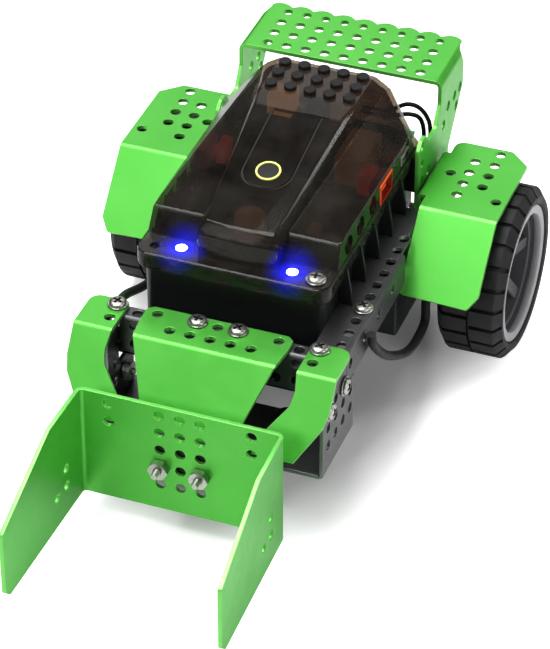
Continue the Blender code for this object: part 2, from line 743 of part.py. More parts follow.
# ---------------------------------------------------------------- caster and sensor
def caster(housing_material, ball_material):
    """A steel ball that rolls in a socket under the front bracket."""
    socket = BALL_RADIUS + GAP
    mouth = 5.0
    top = BRACKET_Z - GAP
    profile = [(0, top), (9.5, top), (9.5, mouth)]
    start = math.asin((mouth - BALL_RADIUS) / socket)
    arc_steps = 5
    for step in range(arc_steps):
        turn = start + (math.pi / 2 - start) * step / arc_steps
        profile.append((socket * math.cos(turn), BALL_RADIUS + socket * math.sin(turn)))
    profile.append((0, BALL_RADIUS + socket))
    bm = lathe(profile, 20)
    point_along(bm, (0, CASTER_Y, 0), (0, 0, 1))
    finish("caster_housing", bm, housing_material)
    ball = bmesh.new()
    bmesh.ops.create_uvsphere(ball, u_segments=16, v_segments=9, radius=BALL_RADIUS)
    bmesh.ops.translate(ball, vec=(0, CASTER_Y, BALL_RADIUS), verts=ball.verts)
    finish("caster_ball", ball, ball_material)


def line_sensor(material):
    """The sensor bar that looks at the floor, with its two moulded posts."""
    bar = box((-24.0, -136.0, 12.0), (24.0, -126.0, 15.0))
    parts = []
    for x in steps(-16.0, 5):
        parts.append(((x, -131.0, 0), 2.4, 7.0, 12.5))
    for x in (-20.0, 20.0):
        parts.append(((x, -131.0, 0), 3.0, 14.5, BRACKET_Z - GAP))
    solids = []
    for stand, radius, low, high in parts:
        solid = lathe([(0, low), (radius, low), (radius, high), (0, high)], 10)
        point_along(solid, stand, (0, 0, 1))
        solids.append(solid)
    finish("line_sensor", combine(bar, solids, "UNION"), material)


# ---------------------------------------------------------------- controller
def case_outline(inset):
    """Rounded rectangle of the controller seen from above."""
    x = CASE_X - inset
    front = CASE_FRONT_Y + inset
    rear = CASE_REAR_Y - inset
    return rounded([(-x, front), (x, front), (x, rear), (-x, rear)], 6.0 - inset / 2)


def cover_solids(inset, low_z):
    """The three overlapping solids of the cover; inset moves every face inwards."""
    base = plate(case_outline(inset), [], FLANGE_Z - inset - low_z)
    bmesh.ops.translate(base, vec=(0, 0, FLANGE_Z - inset), verts=base.verts)
    foot = FLANGE_Z - 1.0 - inset
    shoulder = [
        (38.0, -91.2, foot), (37.3, -86.0, 94.4), (20.0, -86.0, 95.0), (37.9, -7.0, 93.4),
        (37.3, 12.0, 91.0), (25.9, 2.8, 107.0), (24.5, 10.0, 105.0), (38.0, 18.5, foot),
    ]
    hood = [
        (15.0, -97.0, foot), (16.3, -95.5, 93.2), (13.9, -92.2, 97.2), (17.4, -30.6, 110.1),
        (19.5, -20.0, 110.9), (19.5, 3.0, 110.9), (25.9, 2.8, 107.0), (21.0, 17.5, foot),
        (20.0, 15.0, 95.0), (6.0, -98.3, foot), (6.5, -96.8, 93.4), (5.5, -93.6, 97.6),
    ]
    solids = []
    for points in (shoulder, hood):
        corners = []
        for x, y, z in points:
            y += inset if y < -50 else -inset if y > 5 else 0.0
            z -= inset if z > FLANGE_Z else 0.0
            corners += [(x - inset, y, z), (inset - x, y, z)]
        solids.append(hull(corners))
    return base, solids


def tongue_outline(grow):
    """Flat shape of the button tongue; it starts at its hinge and runs towards -Y."""
    half = TONGUE_HALF + grow
    end = -TONGUE_LENGTH - grow
    points = [(half, grow), (-half, grow), (-half, end), (half, end)]
    return rounded(points, {2: 8.5, 3: 8.5}, 5)


def hood_tilt(bm, lift):
    """Lay a flat part on the sloped hood, with its front line on the button's hinge."""
    rise = HOOD_SLOPE_END - HOOD_SLOPE_START
    angle = math.atan2(rise.z, rise.y)
    matrix = Matrix.Translation(HOOD_SLOPE_END) @ Matrix.Rotation(angle, 4, "X")
    matrix = matrix @ Matrix.Translation((0, 0, lift))
    bmesh.ops.transform(bm, matrix=matrix, verts=bm.verts)


def controller_cover(material):
    """The smoked cover with its hood, studs, port windows and the opening for the button."""
    outer, uppers = cover_solids(0.0, COVER_Z)
    cover = combine(outer, uppers, "UNION")
    studs = []
    for x in steps(-2 * PITCH, 5):
        for y in steps(-16.9, 3):
            stud = lathe([(0, 110.0), (2.45, 110.0), (2.45, 112.6), (0, 112.6)], 8)
            point_along(stud, (x, y, 0), (0, 0, 1))
            studs.append(stud)
    cover = combine(cover, studs, "UNION")
    inner, inner_uppers = cover_solids(COVER_WALL, COVER_Z - 1.0)
    cuts = [inner] + inner_uppers
    opening = plate(tongue_outline(0.6), [], 8.0)
    hood_tilt(opening, 4.0)
    cuts.append(opening)
    low = FLANGE_Z - 4.0
    high = FLANGE_Z + 2.0
    for (x, y), radius in ((COVER_SCREW_PLACE, HOLE / 2), (LAMP_PLACE, 2.0)):
        for side in (-1, 1):
            hole = lathe([(0, low), (radius, low), (radius, high), (0, high)], 10)
            point_along(hole, (side * x, y, 0), (0, 0, 1))
            cuts.append(hole)
    for y, width in PORT_WINDOWS:
        for side in (-1, 1):
            low_x, high_x = sorted((side * (CASE_X - 4.0), side * (CASE_X + 2.0)))
            cuts.append(box((low_x, y - width / 2, WINDOW_LOW_Z), (high_x, y + width / 2, WINDOW_HIGH_Z)))
    finish("controller_cover", combine(cover, cuts, "DIFFERENCE"), material)


def start_button(material):
    """The springy tongue that carries the start button; it turns on its rear edge."""
    bm = plate(tongue_outline(0.0), [], COVER_WALL)
    pad = lathe([(0, -0.5), (5.6, -0.5), (5.6, 0.6), (0, 0.6)], 20)
    bmesh.ops.translate(pad, vec=(0, -TONGUE_LENGTH + 8.5, 0), verts=pad.verts)
    bm = combine(bm, [pad], "UNION")
    hood_tilt(bm, 0.0)
    button = finish("start_button", bm, material)
    hinge = HOOD_SLOPE_END * MM
    button.data.transform(Matrix.Translation(-hinge))
    button.location = hinge


def controller_tray(material):
    """The open box under the cover. It hangs between the beams, and its ribs rest on them."""
    half = 35.6
    front = -100.5
    rear = 20.0
    top = COVER_Z - GAP
    bottom = DECK_Z + GAP
    keel_z = 54.0
    outline = rounded([(-half, front), (half, front), (half, rear), (-half, rear)], 5.0)
    tray = plate(outline, [], top - keel_z)
    bmesh.ops.translate(tray, vec=(0, 0, top), verts=tray.verts)
    ribs = []
    for y in steps(-88.0, 7, 12.0):
        for side in (-1, 1):
            low_x, high_x = sorted((side * (half - 1.0), side * 39.8))
            ribs.append(box((low_x, y, bottom), (high_x, y + 1.4, top)))
    tray = combine(tray, ribs, "UNION")
    wall = 2.0
    half -= wall
    front += wall
    inside = rounded([(-half, front), (half, front), (half, rear - wall), (-half, rear - wall)], 3.5)
    hollow = plate(inside, [], top - keel_z)
    bmesh.ops.translate(hollow, vec=(0, 0, top + 2.0), verts=hollow.verts)
    slot = box((-7.0, rear - 3.0, 69.0), (7.0, rear + 1.0, 74.0))
    finish("controller_tray", combine(tray, [hollow, slot], "DIFFERENCE"), material)


def electronics(materials):
    """Board, battery, switch, lamps and ports."""
    board_z = 80.0
    board = box((-33.0, -94.0, board_z), (33.0, 14.0, board_z + 1.6))
    finish("circuit_board", board, materials["board"])
    pack = bevelled_box((-30.0, -88.0, 58.0), (30.0, 8.0, 76.6), 2.0)
    finish("battery_pack", pack, materials["battery"])
    knob = bevelled_box((-4.5, 17.0, 70.0), (0.5, 22.2, 73.0), 0.4)
    finish("power_switch", knob, materials["black"])
    lamp_low = board_z + 1.6 + GAP
    for side, label in ((-1, "left"), (1, "right")):
        profile = [
            (0, lamp_low), (1.6, lamp_low), (1.6, FLANGE_Z), (1.1, FLANGE_Z + 0.7), (0, FLANGE_Z + 0.9),
        ]
        lamp = lathe(profile, 12)
        point_along(lamp, (side * LAMP_PLACE[0], LAMP_PLACE[1], 0), (0, 0, 1))
        finish(f"led_{label}", lamp, materials["led"])
    port = bevelled_box((30.0, -39.6, 86.2), (CASE_X - 0.2, -27.0, 92.2), 0.5)
    right = finish("motor_port_right", port, materials["orange"])
    mirrored(right, "motor_port_left")
    usb = bevelled_box((30.0, -18.4, 86.2), (CASE_X - 0.2, -9.6, 90.6), 0.4)
    finish("usb_port", usb, materials["steel"])


# ---------------------------------------------------------------- cables and screws
def cables(material):
    """Leads to the motors, and the loop behind the controller."""
    right_path = [
        (51.7, -91.5, 61.0), (52.2, -90.0, 55.0), (54.0, -78.0, 42.0), (56.0, -58.5, 31.0),
        (56.0, -40.0, 30.0), (55.0, -35.0, 36.5), (53.5, -30.0, 46.0), (52.5, -22.0, 56.0),
    ]
    finish("motor_cable_right", tube(right_path, 1.8, 6), material)
    left_path = [
        (-47.0, -96.0, 44.0), (-52.5, -88.0, 42.5), (-54.0, -78.0, 42.0), (-54.0, -60.0, 34.0),
        (-50.0, -48.0, 33.0), (-42.0, -44.5, 35.0),
    ]
    finish("motor_cable_left", tube(left_path, 1.8, 6), material)
    loop = [
        (16.0, 22.4, 80.6), (20.0, 24.0, 82.4), (26.0, 24.2, 86.3), (31.5, 24.2, 85.7),
        (35.4, 24.2, 80.5), (36.2, 24.4, 72.8), (35.6, 25.0, 66.0),
    ]
    finish("rear_cable", tube(loop, 1.1, 6), material)


def fasteners(material):
    """Every screw and nut that shows."""
    deck = (0, 0, 1)
    for side, label in ((-1, "left"), (1, "right")):
        screw(f"plate_screw_{label}", (side * PITCH, GRID_Y, PLATE_Z), deck, 7.0, material)
        screw(f"arm_screw_{label}", (side * 5 * PITCH, GRID_Y, PLATE_Z), deck, 7.0, material)
        outward = (side, 0, 0)
        face = side * BEAM_X
        screw(f"bracket_screw_front_{label}", (face, GRID_Y - 2 * PITCH, 53.8), outward, 8.0, material)
        screw(f"bracket_screw_rear_{label}", (face, GRID_Y, 53.8), outward, 8.0, material)
        screw(f"frame_bolt_{label}", (face, FRAME_BOLT_Y[0], SIDE_HOLE_Z), outward, 12.0, material)
        bracket_face = SCOOP_BACK_Y + GAP + SHEET
        screw(f"scoop_bolt_{label}", (side * PITCH, bracket_face, SCOOP_BOLT_Z), (0, 1, 0), 10.0, material)
        nut(f"scoop_nut_{label}", (side * PITCH, SCOOP_BACK_Y - SHEET, SCOOP_BOLT_Z), (0, -1, 0), material)
    beam_row = (BEAM_X - ROW_EDGE, GRID_Y + 4 * PITCH, DECK_Z)
    screw("beam_screw_right", beam_row, deck, 6.0, material)
    screw("cover_screw_right", (*COVER_SCREW_PLACE, FLANGE_Z), deck, 6.0, material)


def main():
    for obj in list(bpy.data.objects):
        bpy.data.objects.remove(obj, do_unlink=True)
    materials = make_materials()
    chassis_beams(materials["grey"])
    front_crossbeam(materials["grey"])
    rear_crossbeam(materials["grey"])
    front_bracket(materials["grey"])
    centre_plate(materials["green"])
    arms(materials["green"])
    scoop(materials["green"])
    scoop_bracket(materials["black"])
    fenders(materials["green"])
    spoiler(materials["green"])
    motors(materials["black"])
    motor_brackets(materials["grey"])
    axles(materials["steel"])
    tyres(materials["tyre"])
    rims(materials["rim"])
    hubs(materials["black"])
    caster(materials["black"], materials["steel"])
    line_sensor(materials["black"])
    controller_cover(materials["cover"])
    start_button(materials["cover"])
    controller_tray(materials["black"])
    electronics(materials)
    cables(materials["black"])
    fasteners(materials["steel"])


main()
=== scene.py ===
"""Looks of the line follower robot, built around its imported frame.

Every sheet metal part, fastener, wheel and moulding is made again here with round holes, soft edges
and smooth bends, in the place that its CAD node has. Seven pieces have no CAD node: the button's ring,
two bracket nuts, and four guessed parts. Lengths are in millimetres until a mesh is finished, x is
measured from the middle of the scoop and y from the wheel axle. The robot faces -Y, and names that end
in _right are at +X.
"""

import math

import bmesh
import bpy
from mathutils import Matrix, Vector


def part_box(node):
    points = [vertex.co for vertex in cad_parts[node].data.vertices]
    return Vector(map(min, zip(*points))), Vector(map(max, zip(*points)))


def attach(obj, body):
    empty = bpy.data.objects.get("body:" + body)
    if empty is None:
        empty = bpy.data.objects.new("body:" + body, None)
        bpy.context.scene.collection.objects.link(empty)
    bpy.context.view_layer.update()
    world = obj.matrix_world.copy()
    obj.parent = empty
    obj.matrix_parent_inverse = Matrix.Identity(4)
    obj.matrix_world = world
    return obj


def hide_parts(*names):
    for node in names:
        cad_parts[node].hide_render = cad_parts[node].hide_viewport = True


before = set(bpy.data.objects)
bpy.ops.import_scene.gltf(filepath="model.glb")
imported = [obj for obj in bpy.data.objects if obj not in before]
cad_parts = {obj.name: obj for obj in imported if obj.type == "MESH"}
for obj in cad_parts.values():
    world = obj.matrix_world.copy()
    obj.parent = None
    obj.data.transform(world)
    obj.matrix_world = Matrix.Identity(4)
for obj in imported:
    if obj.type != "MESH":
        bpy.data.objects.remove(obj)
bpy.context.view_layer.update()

# ---------------------------------------------------------------- sizes
MM = 0.001
PITCH = 8.0
HOLE_RADIUS = 2.1
SHEET = 1.7
GAP = 0.3
LAYER = SHEET + GAP
ROW_EDGE = 3.8
TIGHT_BEND = SHEET + 0.1
SOFT_BEND = 2.4
SIDES = ((-1, "left"), (1, "right"))
X, Y, Z = 0, 1, 2
RIGHT = (1, 0, 0)
BACK = (0, 1, 0)
UP = (0, 0, 1)
QUARTER = math.radians(90)


def middle(node, axis):
    """Middle of a CAD node along an axis, in millimetres from the origin."""
    return sum(corner[axis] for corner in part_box(node)) / 2 / MM


SHIFT = Vector((middle("scoop", X), middle("axle_right", Y), 0.0))


def low(node, axis):
    """Lowest place of a CAD node along an axis, in shifted millimetres."""
    return round(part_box(node)[0][axis] / MM - SHIFT[axis], 3)


def high(node, axis):
    """Highest place of a CAD node along an axis, in shifted millimetres."""
    return round(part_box(node)[1][axis] / MM - SHIFT[axis], 3)


BEAM_X = high("chassis_beam_right", X)
BEAM_FRONT_Y = low("chassis_beam_right", Y)
BEAM_REAR_Y = high("chassis_beam_right", Y)
DECK_Z = high("chassis_beam_right", Z)
BEAM_HEIGHT = DECK_Z - low("chassis_beam_right", Z)
GRID_Y = BEAM_FRONT_Y - 3.9
SIDE_HOLE_Z = DECK_Z - 7.2
BRACKET_SCREW_Z = 53.8
FRAME_BOLT_Y = [GRID_Y + 14 * PITCH, GRID_Y + 16 * PITCH]
PLATE_Z = high("centre_plate", Z)
PLATE_BEND_Y = -130.5
PLATE_SLOPE = math.radians(54)
SCOOP_X = 40.6
SCOOP_BEND = math.radians(88.5)
SCOOP_BACK_Y = high("scoop", Y)
SCOOP_FRONT_Y = low("scoop", Y)
SCOOP_BOTTOM_Z = low("scoop", Z)
SCOOP_TOP_Z = high("scoop", Z)
SCOOP_BOLT_Z = 28.8
BRACKET_Z = low("front_bracket", Z)
MOUNT_ROW_Y = -127.6
FENDER_Z = high("fender_right", Z)
FENDER_INNER_X = low("fender_right", X)
FENDER_BEND_Y = -21.5
FENDER_SLOPE = math.radians(47)
SPOILER_Z = high("spoiler", Z)
SPOILER_X = high("spoiler", X)
WHEEL_INNER_X = low("tyre_right", X)
WHEEL_OUTER_X = high("tyre_right", X)
WHEEL_RADIUS = high("tyre_right", Z) / 2
RIM_OUTER = high("rim_right", Z) - WHEEL_RADIUS
RIM_INNER = RIM_OUTER - 3.8
LEFT_WHEEL_SHIFT = low("tyre_left", X) + WHEEL_OUTER_X
CASTER_Y = (low("caster_ball", Y) + high("caster_ball", Y)) / 2
BALL_RADIUS = high("caster_ball", Z) / 2
CASE_X = high("controller_cover", X)
CASE_FRONT_Y = low("controller_cover", Y)
CASE_REAR_Y = high("controller_cover", Y)
COVER_Z = low("controller_cover", Z)
FLANGE_Z = COVER_Z + 7.0
COVER_WALL = 1.6
REAR_CORNER = 17.5
HOOD_START = Vector((0.0, -92.2, 97.2))
HOOD_END = Vector((0.0, -30.6, 110.1))
PLATEAU_Z = high("controller_cover", Z) - 1.7
LAMP_PLACE = (22.0, -96.0)
COVER_SCREW_PLACE = (31.9, -97.8)
BOARD_Z = high("circuit_board", Z)


# ---------------------------------------------------------------- materials
class Shader:
    """A Principled material with a few shortcuts for its nodes."""

    def __init__(self, name, color, roughness, metallic=0.0):
        self.material = bpy.data.materials.new(name)
        self.material.use_nodes = True
        self.tree = self.material.node_tree
        self.main = self.tree.nodes["Principled BSDF"]
        self.output = self.tree.nodes["Material Output"]
        self.main.inputs["Base Color"].default_value = (*color, 1.0)
        self.main.inputs["Roughness"].default_value = roughness
        self.main.inputs["Metallic"].default_value = metallic
        self.material.diffuse_color = (*color, 1.0)
        self.place = self.node("ShaderNodeTexCoord").outputs["Object"]

    def node(self, kind, **values):
        made = self.tree.nodes.new(kind)
        for name, value in values.items():
            setattr(made, name, value)
        return made

    def link(self, source, target):
        self.tree.links.new(source, target)

    def wire(self, kind, inputs, output, **values):
        """Add a node, feed its inputs from sockets or plain values, and give back one output."""
        made = self.node(kind, **values)
        for name, value in inputs.items():
            if isinstance(value, bpy.types.NodeSocket):
                self.link(value, made.inputs[name])
            else:
                made.inputs[name].default_value = value
        return made.outputs[output]

    def calculate(self, operation, first, second):
        return self.wire("ShaderNodeMath", {0: first, 1: second}, "Value", operation=operation)

    def noise(self, size_mm, detail=3.0, stretch=(1, 1, 1)):
        """Smooth random values from 0 to 1; size_mm is the width of one blob."""
        scaled = self.wire("ShaderNodeMapping", {"Scale": stretch, "Vector": self.place}, "Vector")
        values = {"Scale": 1.0 / (size_mm * MM), "Detail": detail, "Vector": scaled}
        return self.wire("ShaderNodeTexNoise", values, "Fac")

    def spread(self, source, from_low, from_high, to_low, to_high):
        values = {"From Min": from_low, "From Max": from_high, "To Min": to_low, "To Max": to_high}
        return self.wire("ShaderNodeMapRange", {**values, "Value": source}, "Result")

    def blend(self, factor, first, second):
        """Colour between two colours."""
        made = self.node("ShaderNodeMix", data_type="RGBA")
        self.link(factor, made.inputs["Factor"])
        for name, value in (("A", first), ("B", second)):
            socket = [s for s in made.inputs if s.name == name and s.type == "RGBA"][0]
            socket.default_value = (*value, 1.0)
        return [s for s in made.outputs if s.type == "RGBA"][0]

    def rough(self, source, low_value, high_value):
        self.link(self.spread(source, 0.3, 0.7, low_value, high_value), self.main.inputs["Roughness"])

    def bump(self, source, strength, depth_mm):
        values = {"Strength": strength, "Distance": depth_mm * MM, "Height": source}
        self.link(self.wire("ShaderNodeBump", values, "Normal"), self.main.inputs["Normal"])

    def color(self, source):
        self.link(source, self.main.inputs["Base Color"])


def anodised(name, color, worn, roughness, metallic):
    """Bead blasted and anodised aluminium: fine grain, faint cloudiness."""
    shader = Shader(name, color, roughness, metallic)
    cloud = shader.noise(24.0, 2.0)
    shader.color(shader.blend(shader.spread(cloud, 0.3, 0.7, 0.0, 1.0), color, worn))
    shader.rough(shader.noise(6.0, 4.0), roughness - 0.04, roughness + 0.05)
    shader.bump(shader.noise(0.35, 2.0), 0.25, 0.02)
    return shader.material


def moulded(name, color, roughness, grain_mm=0.5, depth=0.03):
    """Plastic from a mould: even colour with a fine texture and a low sheen."""
    shader = Shader(name, color, roughness)
    shader.main.inputs["Specular IOR Level"].default_value = 0.25
    lighter = tuple(min(1.0, value * 1.25 + 0.002) for value in color)
    shader.color(shader.blend(shader.noise(8.0, 3.0), color, lighter))
    shader.rough(shader.noise(3.0, 3.0), roughness - 0.05, roughness + 0.08)
    shader.bump(shader.noise(grain_mm, 2.0), 0.3, depth)
    return shader.material


def rubber(name):
    """Tyre rubber with a dusty, uneven sheen."""
    shader = Shader(name, (0.02, 0.02, 0.022), 0.62)
    shader.main.inputs["Specular IOR Level"].default_value = 0.3
    dust = shader.noise(5.0, 6.0)
    share = shader.spread(dust, 0.35, 0.75, 0.0, 1.0)
    shader.color(shader.blend(share, (0.006, 0.006, 0.0065), (0.014, 0.014, 0.015)))
    shader.rough(dust, 0.5, 0.72)
    shader.bump(shader.noise(0.6, 4.0), 0.35, 0.06)
    return shader.material


def nickel(name):
    """Bright plated steel with fine scratches."""
    roughness = 0.3
    shader = Shader(name, (0.44, 0.43, 0.40), roughness, 1.0)
    scratch = shader.noise(1.5, 5.0, (1.0, 6.0, 1.0))
    shader.rough(scratch, roughness - 0.06, roughness + 0.12)
    shader.bump(scratch, 0.2, 0.01)
    return shader.material


def glow(shader):
    """0 to 1, the strength of the painted lamp glow on the cover: highest at the two lamps and falling off
    over a few millimetres.
    """
    reach = 12.5 * MM
    falloff = 2.6
    middle_line = (SHIFT.x * MM, (LAMP_PLACE[1] + SHIFT.y) * MM, 0.0)
    shift = shader.wire("ShaderNodeVectorMath", {0: shader.place, 1: middle_line}, "Vector",
                        operation="SUBTRACT")
    folded = shader.wire("ShaderNodeVectorMath", {0: shift}, "Vector", operation="ABSOLUTE")
    lamp = (LAMP_PLACE[0] * MM, 0.0, (FLANGE_Z + 0.5) * MM)
    gap = shader.wire("ShaderNodeVectorMath", {0: folded, 1: lamp}, "Value", operation="DISTANCE")
    return shader.calculate("POWER", shader.spread(gap, 0.0, reach, 1.0, 0.0), falloff)


def smoked(name):
    """See-through smoked plastic: a dark film that is glossy outside, with a painted blue glow around the
    lamps.
    """
    haze_share = 0.35
    glow_strength = 2.2
    shader = Shader(name, (0.035, 0.030, 0.028), 0.16)
    film = shader.wire("ShaderNodeBsdfTransparent", {"Color": (0.50, 0.42, 0.35, 1.0)}, "BSDF")
    cloud = shader.spread(shader.noise(14.0, 5.0), 0.3, 0.75, 0.0, 1.0)
    cloud_color = shader.blend(cloud, (0.012, 0.010, 0.009), (0.050, 0.045, 0.040))
    haze = shader.wire("ShaderNodeBsdfDiffuse", {"Color": cloud_color}, "BSDF")
    body = shader.wire("ShaderNodeMixShader", {"Fac": haze_share, 1: film, 2: haze}, "Shader")
    gloss = shader.wire("ShaderNodeBsdfGlossy", {"Roughness": 0.12}, "BSDF")
    rim = shader.wire("ShaderNodeFresnel", {"IOR": 1.3}, "Fac")
    inside = shader.node("ShaderNodeNewGeometry").outputs["Backfacing"]
    share = shader.calculate("MULTIPLY", rim, shader.calculate("SUBTRACT", 1.0, inside))
    coat = shader.wire("ShaderNodeMixShader", {"Fac": share, 1: body, 2: gloss}, "Shader")
    # painted glow: the lamps' blue light is painted on the cover as emission
    level = shader.calculate("MULTIPLY", glow(shader), glow_strength)
    lamp = shader.wire("ShaderNodeEmission", {"Color": (0.0, 0.004, 1.0, 1.0), "Strength": level},
                       "Emission")
    total = shader.wire("ShaderNodeAddShader", {0: coat, 1: lamp}, "Shader")
    shader.link(total, shader.output.inputs["Surface"])
    return shader.material


def lit(name, color, strength):
    """A finish that gives off light, slightly uneven: the lamp lens is a real lamp, and on the other parts it
    is painted glow that brightens them.
    """
    shader = Shader(name, color, 0.2)
    shader.main.inputs["Emission Color"].default_value = (*color, 1.0)
    level = shader.spread(shader.noise(2.0, 1.0), 0.0, 1.0, strength * 0.9, strength)
    shader.link(level, shader.main.inputs["Emission Strength"])
    return shader.material


def board_finish(name):
    """Green solder mask with paler copper tracks under it."""
    shader = Shader(name, (0.02, 0.14, 0.05), 0.35)
    shader.color(shader.wire("ShaderNodeTexBrick", {
        "Scale": 160.0, "Mortar Size": 0.035, "Color1": (0.02, 0.16, 0.05, 1.0),
        "Color2": (0.03, 0.19, 0.06, 1.0), "Mortar": (0.10, 0.34, 0.10, 1.0), "Vector": shader.place,
    }, "Color"))
    return shader.material


def make_materials():
    """All finishes, by short name."""
    return {
        "green": anodised("anodised_green", (0.078, 0.455, 0.046), (0.094, 0.50, 0.058), 0.36, 0.6),
        # painted highlight: the edge finishes are lighter copies of the finishes for the cut edges of the
        # sheets
        "green_edge_highlight": anodised("anodised_green_edge", (0.14, 0.56, 0.09), (0.17, 0.60, 0.11), 0.34, 0.6),
        "grey": anodised("anodised_grey", (0.075, 0.075, 0.08), (0.092, 0.092, 0.097), 0.38, 0.75),
        "grey_edge_highlight": anodised("anodised_grey_edge", (0.16, 0.16, 0.17), (0.2, 0.2, 0.21), 0.3, 0.85),
        "cover": smoked("smoked_plastic"),
        "stud": moulded("stud_plastic", (0.005, 0.0045, 0.004), 0.5, 1.2, 0.01),
        "black": moulded("black_plastic", (0.008, 0.008, 0.009), 0.42),
        "satin": moulded("satin_black_plastic", (0.007, 0.008, 0.008), 0.34, 0.9, 0.012),
        "cable": moulded("cable_jacket", (0.004, 0.004, 0.004), 0.5, 1.2, 0.02),
        "tyre": rubber("tyre_rubber"),
        "rim": moulded("rim_plastic", (0.30, 0.30, 0.315), 0.4),
        "hub": moulded("hub_plastic", (0.065, 0.065, 0.07), 0.42),
        "steel": nickel("nickel_steel"),
        # painted shade for the cross recess of the screws and the inside of the metal socket
        "recess_shade": moulded("recess_painted_shade", (0.012, 0.012, 0.012), 0.6),
        "orange": moulded("port_orange", (0.75, 0.075, 0.008), 0.35),
        # painted glow: the red, amber, brown and ring finishes are no lamps; their emission is painted light
        "red": lit("socket_red_painted_glow", (0.60, 0.06, 0.03), 0.6),
        "amber": lit("amber_film_painted_glow", (0.55, 0.33, 0.13), 1.3),
        "brown": lit("brown_film_painted_glow", (0.50, 0.32, 0.16), 0.28),
        "socket": moulded("socket_shade", (0.22, 0.012, 0.003), 0.5),
        "white": moulded("white_plastic", (0.5, 0.5, 0.48), 0.4),
        "ring": lit("ring_yellow_painted_glow", (0.78, 0.80, 0.22), 0.25),
        "board": board_finish("board_green"),
        "led": lit("led_lens", (0.45, 0.65, 1.0), 14.0),
        "battery": moulded("battery_sleeve", (0.05, 0.12, 0.35), 0.4),
    }


MATERIALS = make_materials()
GREEN = ["green", "green_edge_highlight"]
GREY = ["grey", "grey_edge_highlight"]


# ---------------------------------------------------------------- mesh helpers
def add_object(name, data):
    """A new object in the scene."""
    obj = bpy.data.objects.new(name, data)
    bpy.context.scene.collection.objects.link(obj)
    return obj


def to_mesh(bm, name):
    """Turn a bmesh into a mesh and free it."""
    mesh = bpy.data.meshes.new(name)
    bm.to_mesh(mesh)
    bm.free()
    return mesh


def moved(bm, x, y, z):
    """Shift a mesh and give it back."""
    bmesh.ops.translate(bm, vec=(x, y, z), verts=bm.verts)
    return bm


def add_piece(name, bm, finishes, *nodes, body="chassis", sharp_angle=32.0):
    """Turn a millimetre bmesh into a piece that rides on a body and stands for CAD nodes."""
    moved(bm, *SHIFT)
    bmesh.ops.scale(bm, vec=(MM, MM, MM), verts=bm.verts)
    mesh = to_mesh(bm, name)
    for finish in finishes:
        mesh.materials.append(MATERIALS[finish])
    mesh.shade_smooth()
    mesh.set_sharp_from_angle(angle=math.radians(sharp_angle))
    obj = add_object(name, mesh)
    normals = obj.modifiers.new("normals", "WEIGHTED_NORMAL")
    normals.keep_sharp = True
    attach(obj, body)
    if nodes:
        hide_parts(*nodes)


def mirror(bm, shift=0.0):
    """A copy on the other side of x = 0, moved to +X by a shift."""
    other = bm.copy()
    bmesh.ops.scale(other, vec=(-1.0, 1.0, 1.0), verts=other.verts)
    bmesh.ops.reverse_faces(other, faces=other.faces)
    return moved(other, shift, 0, 0)


def add_pair(name, bm, finishes, node):
    """A piece of the chassis at +X and its mirror image at -X."""
    add_piece(f"{name}_left", mirror(bm), finishes, f"{node}_left")
    add_piece(f"{name}_right", bm, finishes, f"{node}_right")


def add_wheel_pair(name, bm, finishes, node, **looks):
    """A piece of the right wheel, and its mirror image on the left wheel."""
    left = mirror(bm, LEFT_WHEEL_SHIFT)
    add_piece(f"{name}_left", left, finishes, f"{node}_left", body="wheel_left", **looks)
    add_piece(f"{name}_right", bm, finishes, f"{node}_right", body="wheel_right", **looks)


def circle(x, y, radius, sides=24):
    """Points of a circle."""
    turns = [2 * math.pi * k / sides for k in range(sides)]
    return [(x + radius * math.cos(turn), y + radius * math.sin(turn)) for turn in turns]


def rectangle(low_x, low_y, high_x, high_y):
    """Corners of a rectangle."""
    return [(low_x, low_y), (high_x, low_y), (high_x, high_y), (low_x, high_y)]


def grid_holes(xs, ys):
    """Centres of a block of holes."""
    return [(x, y) for y in ys for x in xs]


def steps(first, count, pitch=PITCH):
    """Evenly spaced positions."""
    return [first + pitch * k for k in range(count)]


def rounded(points, radius, arc_steps=6):
    """Round the corners of a polygon; radius is one number, or a dictionary from corner number."""
    result = []
    count = len(points)
    for index in range(count):
        size = radius.get(index, 0.0) if isinstance(radius, dict) else radius
        corner = Vector(points[index])
        if size <= 0.0:
            result.append(tuple(corner))
            continue
        back = (Vector(points[index - 1]) - corner).normalized()
        ahead = (Vector(points[(index + 1) % count]) - corner).normalized()
        half = back.angle(ahead) / 2
        reach = size / math.tan(half)
        centre = corner + (back + ahead).normalized() * (size / math.sin(half))
        start = corner + back * reach - centre
        end = corner + ahead * reach - centre
        sweep = start.angle_signed(end)
        for step in range(arc_steps + 1):
            turn = Matrix.Rotation(-sweep * step / arc_steps, 2)
            result.append(tuple(centre + turn @ start))
    return result


def symmetric(right, radii, middle_points=()):
    """A rounded outline from its right-hand points and their mirror images; radii go by corner number."""
    left = [(-x, y) for x, y in reversed(right)]
    points = right + list(middle_points) + left
    mirrored = {len(points) - 1 - index: radius for index, radius in radii.items()}
    return rounded(points, {**radii, **mirrored})


